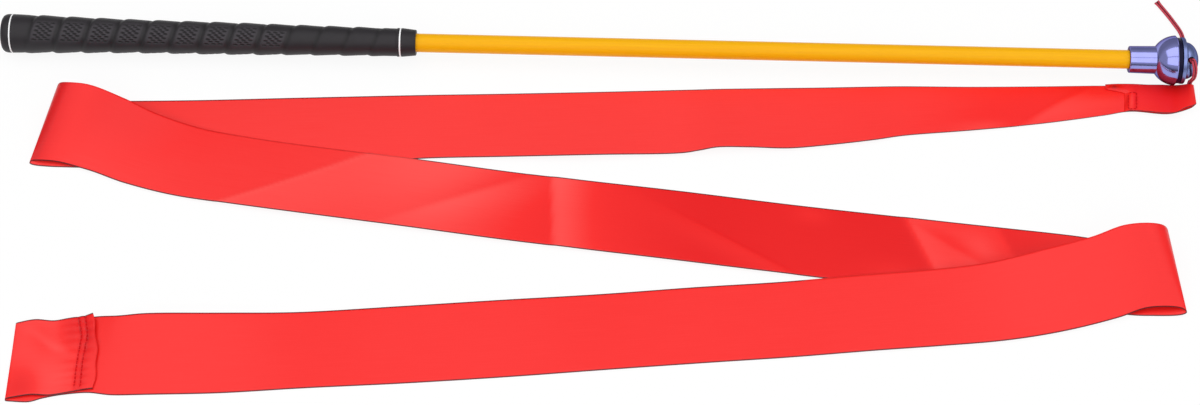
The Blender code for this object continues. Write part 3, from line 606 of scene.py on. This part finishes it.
tail = [floor_place(*place) for place in CORD_TAIL]
tail_path = smooth(tail, np.full(len(tail) - 1, TAIL_STEPS))
cord_tail, tail_length = two_ply("cord_tail_strand", tail_path, SPLIT_SPREAD)

# The stopper knot: the cord's own end, wound some three times round it and drawn tight.
KNOT_TURNS, KNOT_COIL, KNOT_PLY, KNOT_INSET = 3.4, 1.5, 0.8, 0.7
KNOT_POINTS, KNOT_SIDES = 90, 16
wind = np.linspace(0, 1, KNOT_POINTS)
wound = 2 * np.pi * KNOT_TURNS * wind[:, None]
knot_side, knot_other = (row[0] for row in frames(np.array((HOLE, HOLE - HOLE_AXIS))))
behind = KNOT_START + KNOT_INSET + wind * (KNOT_LENGTH - 2 * KNOT_INSET)
coil = (HOLE - HOLE_AXIS * MM * behind[:, None]
        + KNOT_COIL * MM * (np.cos(wound) * knot_side + np.sin(wound) * knot_other))
knot = tube("stopper_knot", coil, np.full((KNOT_POINTS, KNOT_SIDES), KNOT_PLY * MM))

# Spun polyester: a matt crimson, with fibres 0.3 mm wide drawn 0.6 mm wide, and painted shade in the groove
# between the plies.
FIBRE_SIZE, FIBRE_HEIGHT = 0.0006, 0.0003
crimson, tree, shader = surface("spun_crimson_polyester", {"Roughness": 0.6, "IOR": 1.4})
place = node(tree, "ShaderNodeTexCoord").outputs["Object"]
fibre = node(tree, "ShaderNodeTexNoise", {"Vector": place, "Scale": 1 / FIBRE_SIZE, "Detail": 3.0})
face = node(tree, "ShaderNodeMix", {0: fibre.outputs[0], 6: linear("#A11E30"),
                                    7: linear("#DA5062")}, data_type="RGBA")
# Painted shade in the groove between the plies.
groove = node(tree, "ShaderNodeAttribute", attribute_name="painted_shading")
tone = node(tree, "ShaderNodeMix", {0: groove.outputs["Fac"], 6: face.outputs[2],
                                    7: linear("#3E0812")}, data_type="RGBA")
bump = node(tree, "ShaderNodeBump", {"Height": fibre.outputs[0], "Strength": 0.4,
                                     "Distance": FIBRE_HEIGHT})
tree.links.new(tone.outputs[2], shader.inputs["Base Color"])
tree.links.new(bump.outputs[0], shader.inputs["Normal"])
for piece, replaced in ((cord_line, "cord_line"), (cord_tail, "cord_tail"), (knot, "cord_knot")):
    piece.data.materials.append(crimson)
    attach(piece, "ribbon")
    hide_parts(replaced)

# Ribbon
# Red polyester satin, 53 mm wide with woven edges, sewn back on itself into a loop at both
# ends. It lies in three runs, and is turned over in a soft fold between them.
RIBBON_WIDTH = 53.0
FOLD_FLATNESS = 0.55
FOLD_STATIONS, BEFORE_CREST, PAST_CREST = 5, 2, 3
HEAD, FIRST, SECOND, THIRD, TAIL = range(5)
CLOTH_THICKNESS = 0.4
ROWS_ACROSS = 41
FINE_STEP, COARSE_STEP, COARSE_SPAN = 1.1, 3.0, 24.0
# Each station: x from the cord hole, y from the wand's axis, lifts of the far and near edge
# in millimetres, turn of the line across in degrees, and the share of the width laid open.
HEAD_FLAP = ((-38.9, -9.2, 0.6, 0.5, -4.5, 0.41), (-36, -9, 1.5, 1.8, -2, 0.406),
             (-24.5, -9.4, 1.8, 3, -1, 0.424), (-15, -9.4, 2.1, 4.4, -1.2, 0.46),
             (-8, -9.6, 2.2, 4.9, 0, 0.447), (-2.7, -9.6, 2.9, 4.6, 0, 0.375))
HEAD_BEND = ((2.6, -9.5, 3.9, 4, 2, 0.32), (5, -9.4, 2.2, 2.6, 1, 0.28),
             (2.6, -9.7, 0.3, 0.4, 1, 0.3))
RUN_1 = ((-12, -9.8, 0, 0, 1, 0.4), (-37, -9.8, 0, 0, 1, 0.38), (-54.8, -10, 0, 0.2, 2.5, 0.45),
         (-95, -12.2, 0.4, 0.4, 2.5, 0.56), (-140, -13.7, 0, 1.2, 2.5, 0.67),
         (-183.8, -14.7, 0, 0.6, 2.5, 0.75), (-203, -15.7, 0, 2, 2.5, 0.826),
         (-235, -17.5, 0, 2, 2.7, 0.895), (-258, -18.6, 0, 2.4, 2.8, 0.935),
         (-282, -19.8, 0, 3.6, 2.9, 0.93), (-302.8, -20.9, 0, 5, 3, 0.945),
         (-314, -21.7, 0, 3.5, 3, 0.96), (-325, -22.4, 0, 2, 3, 0.97),
         (-376.8, -25.7, 0, 4.4, 3.2, 1), (-440.8, -29.4, 0, 2.6, 3.2, 0.975),
         (-480.8, -31.5, 0, 0.6, 3.2, 0.95), (-500, -32.6, 0, 0, 3.2, 0.955),
         (-568.8, -36.8, 0, 0, 3.2, 1), (-631.8, -40.8, 0, 0, 2, 1), (-671.8, -42.7, 0, 0, -1, 1),
         (-697.8, -43.6, 0, 0, -7, 1))
LEFT_FOLD = (-22.6, 25, 2.2)
RUN_2 = ((-697.8, -48, 23, 1.9, -19.5, 1), (-676.8, -50.6, 13, 1.6, -19.5, 1),
         (-655.8, -57.5, 6.8, 1.3, -17, 1), (-627.8, -64.6, 2.2, 1.3, -13, 1),
         (-596, -69.7, 0.7, 2.2, -10, 1), (-564.8, -74.1, 0.6, 2.9, -8.2, 1),
         (-487.8, -83.4, 0.6, 2.8, -6.5, 1), (-420.8, -91.7, 0, 2.5, -6.3, 1),
         (-330, -101, 0, 1.8, -6.2, 1), (-248.8, -110.4, 0, 2, -6, 1),
         (-180, -117.4, 0, 1, -5.5, 1), (-124.8, -122.8, 0, 0, -5, 1),
         (-75.8, -127.9, 0, 0, -2, 1), (-51.8, -131.8, 0, 0, 4, 1))
RIGHT_FOLD = (28, 25, 4)
RUN_3 = ((-51.8, -133.5, 22, 3.4, 15, 1), (-70.8, -139.6, 17.7, 2.4, 16.5, 1),
         (-97.8, -147.4, 15, 1.2, 14.5, 1), (-134.8, -154.3, 7.4, 1.2, 10, 1),
         (-170, -158.6, 4.4, 1.1, 8, 1), (-208.8, -163, 3.6, 1, 6.5, 1),
         (-260, -169.1, 2.2, 0.4, 6.5, 1), (-310.8, -174.5, 2.1, 0, 6.6, 1),
         (-370, -181.5, 1.9, 0.4, 6.4, 1), (-431.8, -188.7, 3.2, 0, 6.2, 1),
         (-490, -194.8, 2.9, 0, 5.8, 1), (-552.8, -200.4, 1.6, 0, 5.2, 1),
         (-600, -205.6, 6.6, 0, 3.6, 1), (-643.8, -208.4, 8.2, 0, 2, 1),
         (-660, -209.4, 6.3, 0, 1.5, 0.99), (-674, -208.2, 2.6, 0, 1, 0.985),
         (-687, -209.8, 0.6, 0, -1, 0.99), (-698, -212, 0.2, 0, -0.8, 1),
         (-706, -214.8, 0, 0, -0.8, 1))
TAIL_LOOP = (-19.5, 2.6, 1.6)
TAIL_FLAP = ((-699.8, -211.4, 1.8, 1.4, 5, 0.99), (-690, -209.9, 3, 1.3, 5, 0.98),
             (-681, -208.6, 4.1, 1.3, 5, 0.96), (-676, -207.8, 6, 1.4, 7.6, 0.96))


def fold(end, start, bend):
    """Stations of a fold: half a cosine up, and half a sine out past both runs."""
    reach, far_height, near_height = bend
    end, start = np.array(end, float), np.array(start, float)
    t = np.linspace(0, 1, FOLD_STATIONS)
    lift = (1 - np.cos(np.pi * t)) / 2
    loop = end + (start - end) * t[:, None]
    loop[:, 0] += reach * (FOLD_FLATNESS + (1 - FOLD_FLATNESS) * np.sin(np.pi * t))
    loop[:, 1] = end[1] + (start[1] - end[1]) * t * t
    loop[:, 2:4] = lift[:, None] * (far_height, near_height)
    return loop


lengths = (HEAD_FLAP + HEAD_BEND, RUN_1, fold(RUN_1[-1], RUN_2[0], LEFT_FOLD), RUN_2,
           fold(RUN_2[-1], RUN_3[0], RIGHT_FOLD), RUN_3,
           fold(RUN_3[-1], TAIL_FLAP[0], TAIL_LOOP), TAIL_FLAP)
stations = np.concatenate(lengths)
spans = np.linalg.norm(np.diff(stations[:, :3], axis=0), axis=1)
steps = np.ceil(spans / np.where(spans > COARSE_SPAN, COARSE_STEP, FINE_STEP)).astype(int) + 1
line = smooth(stations, steps)
zones = np.repeat((HEAD, FIRST, SECOND, THIRD, TAIL), (
    len(lengths[0]), len(RUN_1) + BEFORE_CREST, len(RUN_2) + FOLD_STATIONS,
    len(RUN_3) + FOLD_STATIONS, len(TAIL_FLAP) + PAST_CREST))
zone = np.append(np.repeat(zones[:-1], steps), TAIL)
far_x, far_y, far_lift, near_lift, lean, share = line.T
far_lift, near_lift = np.maximum(far_lift, 0), np.maximum(near_lift, 0)
width = RIBBON_WIDTH * np.minimum(share, 1)
lean = np.radians(lean)
flat = np.sqrt(width ** 2 - (near_lift - far_lift) ** 2)
far = np.stack((far_x, far_y, far_lift), 1)
near = far + np.stack((flat * np.sin(lean), -flat * np.cos(lean), near_lift - far_lift), 1)
across = np.linspace(0, 1, ROWS_ACROSS)
cloth = far[:, None] + (near - far)[:, None] * across[None, :, None]
reach = length_along((far + near) / 2)

# Creases and painted light: the run (0 head, 4 tail), x at the far and near edge, widths to the left
# and right, height in millimetres, the painted light (1 painted sheen, -1 painted shade, -2 the
# painted shade of a tight crease), and the middle and width of the part across that they cover.
CREASES_AND_PAINTED_LIGHT = ((1, -60, -108, 60, 3, 0, -0.3, 0.5, 9), (1, -60, -108, 3, 45, 0.25, 0.35, 0.65, 0.5),
           (1, -130, -130, 22, 14, 0, 0.45, 0.95, 0.14), (1, -400, -400, 400, 330, 0, 0.35, 0.5, 9),
           (1, -50, -50, 25, 25, 0, -0.4, 0.1, 0.35),
           (2, -518, -600, 110, 3, 0, 0.2, 0.5, 9), (2, -518, -600, 3, 105, 0.3, 0.7, 0.5, 9),
           (2, -416, -505, 25, 2.5, 0, -0.25, 0.35, 0.4), (2, -416, -505, 2.5, 34, 0.2, 0.4, 0.45, 0.5),
           (2, -402, -394, 26, 2, 0, -0.2, 0.5, 9), (2, -402, -394, 2, 20, 0.4, 0.85, 0.5, 9),
           (2, -185, -157, 130, 2.5, 0, -1, 0.5, 9), (2, -320, -300, 55, 50, 0, -0.6, 0.5, 9),
           (2, -470, -470, 40, 34, 0, 0.4, 0.5, 9), (2, -361, -248, 26, 3, 0.3, 0.55, 0.75, 0.45),
           (2, -241, -236, 12, 10, 0, 0.45, 0.12, 0.12),
           (2, -184, -184, 20, 18, 0, 0.6, 0.85, 0.17), (2, -183, -155, 2.5, 22, 0.3, 0.5, 0.5, 9),
           (2, -182, -89, 5, 12, 0, -0.4, 0.4, 0.35), (2, -140, -128, 14, 10, 0, 0.5, 0.4, 0.3),
           (2, -123.5, -96, 2.5, 38, 0, -0.8, 0.15, 0.45), (2, -716, -716, 40, 10, 0, -1.4, 0.5, 9),
           (2, -672, -690, 25, 35, 0, -0.45, 0.2, 0.5), (3, -25, -25, 40, 30, 0, -0.3, 0.5, 9),
           (4, -704, -704, 25, 14, 0, 0.5, 0.5, 9), (4, -708, -700, 9, 9, 0.2, -0.4, 0.3, 0.25),
           (4, -718, -716, 9, 9, 0, -1, 0.9, 0.25), (4, -688, -684, 7, 6, 0, -0.9, 0.12, 0.35),
           (4, -696, -692, 8, 8, 0.3, 0.2, 0.75, 0.2), (4, -722, -655, 4, 7, 0.2, 0.4, 0.34, 0.2),
           (4, -675, -675, 4, 5, 0, -0.7, 0.2, 0.5),
           (0, -37.6, -37.6, 0.9, 0.9, 0.6, -2, 0.12, 0.1), (0, -12, -12, 14, 16, 0, -0.4, 0.5, 9),
           (0, -36.5, -38.4, 1, 1, -0.3, -1.3, 0.64, 0.32),
           (0, -31.4, -33.3, 1, 1, -0.3, -1.1, 0.64, 0.32),
           (0, -34, -35.9, 1.3, 1.3, 0.3, 0.4, 0.64, 0.3))


def crease(features):
    """Sum over creases of height and painted sheen and shade, each a bell curve of its own width either side.

    exp(-(d / w) ** 2), with d the distance along x from the line through both edges, times
    the same curve across.
    """
    height, painted_sheen_and_shade = np.zeros(cloth.shape[:2]), np.zeros(cloth.shape[:2])
    for run, at_far, at_near, left, right, rise, painted_tone, over, spread in features:
        d = far_x[:, None] - (at_far + (at_near - at_far) * across[None, :])
        bell = np.exp(-(d / np.where(d < 0, left, right)) ** 2) * (zone == run)[:, None]
        bell = bell * np.exp(-((across - over) / spread) ** 2)[None, :]
        height += rise * bell
        painted_sheen_and_shade += painted_tone * bell
    return height, painted_sheen_and_shade


crease_height, painted_sheen_and_shade = crease(CREASES_AND_PAINTED_LIGHT)
cloth[..., 2] += crease_height

# The tail's seam draws the cloth up: two wavy sunk rows, with puckers beside them, and a
# raw end that bows out. Painted shade lies on the sunk rows and in a band just past each,
# waved by the puckers. SEAM_ROWS gives the rows' x at four shares of the width.
SEAM_SHARES = (0, 0.28, 0.66, 1)
SEAM_ROWS = ((-685, -681.2, -681.6, -681), (-681, -677.7, -678.3, -677.4))
SEAM_DEPTH, SEAM_WIDTH, SEAM_SHADE = 0.4, 0.9, 1.8
SEAM_PAINTED_SHADE, BESIDE_SEAM_PAINTED_SHADE, PUCKER_PAINTED_SHADE = 0.9, 0.5, 0.35
PUCKER_HEIGHT, PUCKER_LEFT, PUCKER_RIGHT, PUCKERS = 0.16, 9.0, 3.0, 9
PUCKER_DRIFT, DRIFT_RATE = 1.6, 7
RAW_LENGTH, RAW_BOW, RAW_WAVE, RAW_RATE = 6, 2.4, 0.5, 17
flap = (zone == TAIL)[:, None]
seam_lines = [np.interp(across, SEAM_SHARES, row) for row in SEAM_ROWS]
for seam_line in seam_lines:
    off = cloth[..., 0] - seam_line
    drift = PUCKER_DRIFT * np.sin(DRIFT_RATE * across)
    pucker = np.sin(2 * np.pi * PUCKERS * across + drift + seam_line[0])
    sweep = np.exp(-(off / np.where(off < 0, PUCKER_LEFT, PUCKER_RIGHT)) ** 2)
    sunk = np.exp(-(off / SEAM_WIDTH) ** 2)
    cloth[..., 2] += flap * (PUCKER_HEIGHT * pucker * sweep - SEAM_DEPTH * sunk)
    # Painted shade on the sunk row and in a band beside it.
    shaded = np.exp(-(off / SEAM_SHADE - 1) ** 2) * (1 - PUCKER_PAINTED_SHADE * pucker)
    painted_sheen_and_shade = painted_sheen_and_shade - flap * (SEAM_PAINTED_SHADE * sunk + BESIDE_SEAM_PAINTED_SHADE * shaded)
to_end = np.clip(1 - (reach[-1] - reach) / RAW_LENGTH, 0, 1)[:, None] * flap
cloth[..., 0] += to_end * (RAW_BOW * np.sin(np.pi * across) + RAW_WAVE * np.sin(RAW_RATE * across))

# The head's raw end is cut at its seam, but for a bunched corner left at the far edge.
CORNER_LENGTH, CORNER_ROOT, CORNER_SHARE, CORNER_BLEND = 12.4, 5.0, 0.16, 0.16
cut = 1 - np.clip((across - CORNER_SHARE) / CORNER_BLEND, 0, 1)
left_on = cut ** 2 * (3 - 2 * cut)
cloth[..., 0] -= CORNER_LENGTH * left_on * np.clip(1 - reach / CORNER_ROOT, 0, 1)[:, None]
cloth[..., 2] = np.maximum(cloth[..., 2], 0) + CLOTH_THICKNESS / 2
cloth = cloth * MM + np.array((HOLE[0], HOLE[1], 0))

# A painted shade line along the cloth's outline where an edge lies on white floor; none where red lies on red.
OVER_RUN_1, OVER_RUN_2, OUTLINE_FADE = -497, -238, 10
painted_outline_shade = np.zeros(cloth.shape[:2])
painted_outline_shade[:, 0] = np.where(zone == SECOND, np.clip((far_x - OVER_RUN_1) / OUTLINE_FADE, 0, 1), 1)
painted_outline_shade[:, 0] = np.where(zone == THIRD, np.clip((OVER_RUN_2 - far_x) / OUTLINE_FADE, 0, 1), painted_outline_shade[:, 0])
painted_outline_shade[:, -1] = 1


def sheet(name, points, along, over):
    """Quads over an open grid of points, with UVs in metres along and across the cloth."""
    rows, columns = points.shape[:2]
    index = np.arange(rows * columns).reshape(rows, columns)
    quads = np.stack((index[:-1, :-1], index[1:, :-1], index[1:, 1:], index[:-1, 1:]), -1)
    piece = add_piece(name, points.reshape(-1, 3), quads.reshape(-1, 4))
    places = np.stack(np.meshgrid(along, over, indexing="ij"), -1).reshape(-1, 2)
    woven = piece.data.uv_layers.new(name="UVMap")
    woven.data.foreach_set("uv", places[quads.ravel()].ravel())
    return piece


ribbon = sheet("satin_ribbon", cloth, reach * MM, across * RIBBON_WIDTH * MM)
paint(ribbon, "painted_sheen_and_shade", painted_sheen_and_shade.ravel())
paint(ribbon, "painted_outline_shade", painted_outline_shade.ravel())
solid = ribbon.modifiers.new("thickness", "SOLIDIFY")
solid.thickness = CLOTH_THICKNESS * MM
solid.offset = 0

# Woven satin: floats of bright red yarn with a soft gloss, with painted shade, painted sheen and the
# painted shade of tight creases laid over it, and a painted shade line along its outline where it
# lies on white floor. Yarns of 0.1 mm are drawn 0.5 mm wide, to show.
SATIN_PAINTED_CREASE_SHADE, SATIN_PAINTED_SHADE = linear("#B0040C"), linear("#E60408")
SATIN_FACE, SATIN_PAINTED_SHEEN, SATIN_PAINTED_OUTLINE_SHADE = linear("#F7211F"), linear("#FF4F4C"), linear("#601219")
YARN_LENGTH, YARN_WIDTH, YARN_HEIGHT, YARN_SHARE = 0.03, 0.0005, 0.0002, 0.3
PAINTED_LOW, PAINTED_HIGH, OUTLINE_LOW, OUTLINE_HIGH = -1.85, 1.15, 0.4, 0.7
satin, tree, shader = surface("woven_red_satin", {"Roughness": 0.36, "IOR": 1.4})
weave = node(tree, "ShaderNodeTexCoord").outputs["UV"]
yarns = node(tree, "ShaderNodeMapping", {"Vector": weave,
                                         "Scale": (1 / YARN_LENGTH, 1 / YARN_WIDTH, 1.0)})
yarn = node(tree, "ShaderNodeTexNoise", {"Vector": yarns.outputs[0], "Scale": 1.0, "Detail": 2.0})
# Painted sheen and shade per point, from the creases and the tail's seam.
painted_light = node(tree, "ShaderNodeAttribute", attribute_name="painted_sheen_and_shade")
thread = node(tree, "ShaderNodeMath", {0: yarn.outputs[0], 1: YARN_SHARE,
                                       2: painted_light.outputs["Fac"]}, operation="MULTIPLY_ADD")
tone = node(tree, "ShaderNodeMapRange", {0: thread.outputs[0], 1: PAINTED_LOW, 2: PAINTED_HIGH})
tone = node(tree, "ShaderNodeValToRGB", {0: tone.outputs[0]})
for place, stop in ((1 / 3, SATIN_PAINTED_SHADE), (2 / 3, SATIN_FACE)):
    tone.color_ramp.elements.new(place).color = stop
tone.color_ramp.elements[0].color = SATIN_PAINTED_CREASE_SHADE
tone.color_ramp.elements[-1].color = SATIN_PAINTED_SHEEN
# Painted shade along the outline where it lies on the floor.
bound = node(tree, "ShaderNodeAttribute", attribute_name="painted_outline_shade")
edge = node(tree, "ShaderNodeMapRange", {0: bound.outputs["Fac"], 1: OUTLINE_LOW, 2: OUTLINE_HIGH},
            interpolation_type="SMOOTHSTEP")
colour = node(tree, "ShaderNodeMix", {0: edge.outputs[0], 6: tone.outputs[0], 7: SATIN_PAINTED_OUTLINE_SHADE},
              data_type="RGBA")
bump = node(tree, "ShaderNodeBump", {"Height": yarn.outputs[0], "Strength": 0.06,
                                     "Distance": YARN_HEIGHT})
tree.links.new(colour.outputs[2], shader.inputs["Base Color"])
tree.links.new(bump.outputs[0], shader.inputs["Normal"])
ribbon.data.materials.append(satin)
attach(ribbon, "ribbon")
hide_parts("ribbon")

# Seam thread
# Red polyester thread: two rows hold the tail's loop, and a box of stitches holds the
# head's loop shut beside the cord.
THREAD_RADIUS, THREAD_LIFT, STITCH_HUMP = 0.38, 0.05, 0.25
STITCH_LENGTH, STITCH_GAP = 2.6, 0.3
HEAD_BOX = ((-37.1, -16.5), (-32.0, -16.3), (-33.1, -29.4), (-38.2, -29.6), (-37.1, -16.5))
STITCH_POINTS, STITCH_SIDES, BOX_POINTS = 6, 8, 12


def on_cloth(points, columns):
    """Lift points (x, y from the hole, millimetres) onto the nearest points of the cloth."""
    patch = cloth[columns].reshape(-1, 3)
    wanted = np.array(points) * MM + HOLE[:2]
    nearest = np.linalg.norm(patch[None, :, :2] - wanted[:, None], axis=2).argmin(1)
    lift = patch[nearest, 2:] + (CLOTH_THICKNESS / 2 + THREAD_LIFT) * MM
    return np.concatenate((wanted, lift), 1)


def stitched(route):
    """Starts and ends of even stitches along a route of points on the cloth."""
    run = length_along(route)
    starts = np.arange(0, run[-1] - STITCH_LENGTH * MM / 2, STITCH_LENGTH * MM)
    ends = np.minimum(starts + (STITCH_LENGTH - STITCH_GAP) * MM, run[-1])
    return [np.stack([np.interp(at, run, axis) for axis in route.T], 1) for at in (starts, ends)]


def sew(name, starts, ends):
    """One small tube per stitch, humped half a sine above the cloth."""
    s = np.linspace(0, 1, STITCH_POINTS)[None, :, None, None]
    around = circle(STITCH_SIDES)[None, None, :, None]
    upward = np.array((0.0, 0.0, 1.0))
    reach = ends - starts
    side = np.cross(unit(reach), upward)[:, None, None]
    path = starts[:, None, None] + reach[:, None, None] * s
    path = path + STITCH_HUMP * MM * np.sin(np.pi * s) * upward
    fat = THREAD_RADIUS * MM * np.sqrt(np.clip(1 - (2 * s - 1) ** 8, 0, 1))
    points = path + fat * (np.cos(around) * side + np.sin(around) * upward)
    return skin(name, points)


box = np.concatenate([np.linspace(start, end, BOX_POINTS)[:-1]
                      for start, end in zip(HEAD_BOX[:-1], HEAD_BOX[1:])])
head_seam = stitched(on_cloth(box, zone == HEAD))
tail_y = (cloth[-1, 1:-1, 1] - HOLE[1]) / MM
tail_seams = [stitched(on_cloth(np.stack((seam_line[1:-1], tail_y), 1), zone == TAIL))
              for seam_line in seam_lines]
starts, ends = (np.concatenate(part) for part in zip(head_seam, *tail_seams))
seams = sew("seam_thread", starts, ends)

# Twisted thread: a matt red, a little deeper than the satin, with a twist 0.5 mm long that
# shows as fine paler ticks.
thread_red = mottled("twisted_red_thread", {"Roughness": 0.7, "IOR": 1.5,
                                            "Specular IOR Level": 0.15}, "#C80A14", "#E2161E",
                     size=0.0005)
seams.data.materials.append(thread_red)
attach(seams, "ribbon")

# Bearing, spindle and tape
# The pieces inside the head and the grip: ground bearing steel, a moulded nylon cage and
# creped double-sided tape. They are seen only with the head taken apart.

# Ground steel is bright and grey, with grinding marks of 0.8 mm. Cage nylon is a dull cream,
# clouded in patches of 2 mm. Creped paper tape is matt and pale, with ridges of 1.5 mm.
steel = mottled("ground_steel", {"Metallic": 1.0, "Roughness": 0.25}, "#B9BABD", "#D8D9DB",
                size=0.0008, detail=3.0)
cage_nylon = mottled("moulded_cage_nylon", {"Roughness": 0.5, "IOR": 1.53}, "#C9B48A", "#D8C69F",
                     size=0.002)
crepe = mottled("creped_tape", {"Roughness": 0.85, "IOR": 1.5}, "#D8CFAE", "#EBE3C8",
                size=0.0015, detail=4.0)
finishes = {"grip_tape": crepe, "bearing_cage": cage_nylon}
for name in frame["nodes"]:
    if name.startswith(("grip_tape", "bearing_", "spindle_")):
        hidden = frame["nodes"][name].data
        hidden.materials.clear()
        hidden.materials.append(finishes.get(name, steel))

# Floor, lamps and surroundings
# A white sweep under two long soft lamps with a narrow gap between them. The floor shows
# white to the camera and in the metal, and keeps a part of its own light for the shadow.
FLOOR_SIZE, FLOOR_DROP = 8.0, 0.0002
FLOOR_WHITE = 0.9
LAMP_DISTANCE, LAMP_LENGTH = 2.3, 4.4
LAMP_GLOW = 1.05
FRONT_LAMP, REAR_LAMP = (30.0, 70.5), (74.5, 118.0)
ROOM_FRONT, ROOM_TOP, ROOM_BACK = 0.12, 0.56, 0.36
FRONT_EDGE, BACK_EDGE = np.radians((4, 18)), np.radians((112, 150))

corner = FLOOR_SIZE / 2
plane = bpy.data.meshes.new("floor")
plane.from_pydata(((-corner, -corner, 0), (corner, -corner, 0), (corner, corner, 0),
                   (-corner, corner, 0)), [], ((0, 1, 2, 3),))
floor = set_out("floor", plane)
floor.location.z = -FLOOR_DROP
paper, tree, shader = surface("white_sweep", {"Roughness": 0.9, "Base Color": linear("#FAFAFA")})
path = node(tree, "ShaderNodeLightPath")
seen = node(tree, "ShaderNodeMath", {0: path.outputs["Is Camera Ray"],
                                     1: path.outputs["Is Glossy Ray"]}, operation="MAXIMUM")
seen = node(tree, "ShaderNodeMath", {0: seen.outputs[0], 1: path.outputs["Is Transmission Ray"]},
            operation="MAXIMUM")
part = node(tree, "ShaderNodeMath", {0: seen.outputs[0], 1: FLOOR_WHITE}, operation="MULTIPLY")
glow = node(tree, "ShaderNodeEmission", {"Color": (1, 1, 1, 1), "Strength": 1.0})
blend = node(tree, "ShaderNodeMixShader", {0: part.outputs[0], 1: shader.outputs[0],
                                           2: glow.outputs[0]})
tree.links.new(blend.outputs[0], tree.nodes["Material Output"].inputs["Surface"])
floor.data.materials.append(paper)

for name, (low, high) in (("front_lamp", FRONT_LAMP), ("rear_lamp", REAR_LAMP)):
    lamp = bpy.data.lights.new(name, "AREA")
    lamp.shape = "RECTANGLE"
    lamp.size = LAMP_LENGTH
    lamp.size_y = 2 * LAMP_DISTANCE * np.tan(np.radians(high - low) / 2)
    lamp.energy = LAMP_GLOW * np.pi * lamp.size * lamp.size_y
    holder = set_out(name, lamp)
    raised = np.radians((low + high) / 2)
    holder.location = LAMP_DISTANCE * Vector((0, -np.cos(raised), np.sin(raised)))
    holder.rotation_euler = holder.location.to_track_quat("Z", "Y").to_euler()

# The room: dark low in front, bright overhead, dimmer at the back. The angle runs from the
# front horizon over the top to the back horizon, in radians.
world = bpy.data.worlds.new("studio")
bpy.context.scene.world = world
world.use_nodes = True
tree = world.node_tree
sky = tree.nodes["Background"]
sky.inputs["Color"].default_value = (1, 1, 1, 1)
way = node(tree, "ShaderNodeTexCoord").outputs["Generated"]
way = node(tree, "ShaderNodeSeparateXYZ", {0: way})
ahead = node(tree, "ShaderNodeMath", {0: way.outputs["Y"], 1: -1.0}, operation="MULTIPLY")
angle = node(tree, "ShaderNodeMath", {0: way.outputs["Z"], 1: ahead.outputs[0]},
             operation="ARCTAN2")
opening = node(tree, "ShaderNodeMapRange", {0: angle.outputs[0], 1: FRONT_EDGE[0],
                                            2: FRONT_EDGE[1], 3: ROOM_FRONT, 4: ROOM_TOP},
               interpolation_type="SMOOTHSTEP")
closing = node(tree, "ShaderNodeMapRange", {0: angle.outputs[0], 1: BACK_EDGE[0],
                                            2: BACK_EDGE[1], 3: 0.0, 4: ROOM_BACK - ROOM_TOP},
               interpolation_type="SMOOTHSTEP")
level = node(tree, "ShaderNodeMath", {0: opening.outputs[0], 1: closing.outputs[0]})
tree.links.new(level.outputs[0], sky.inputs["Strength"])
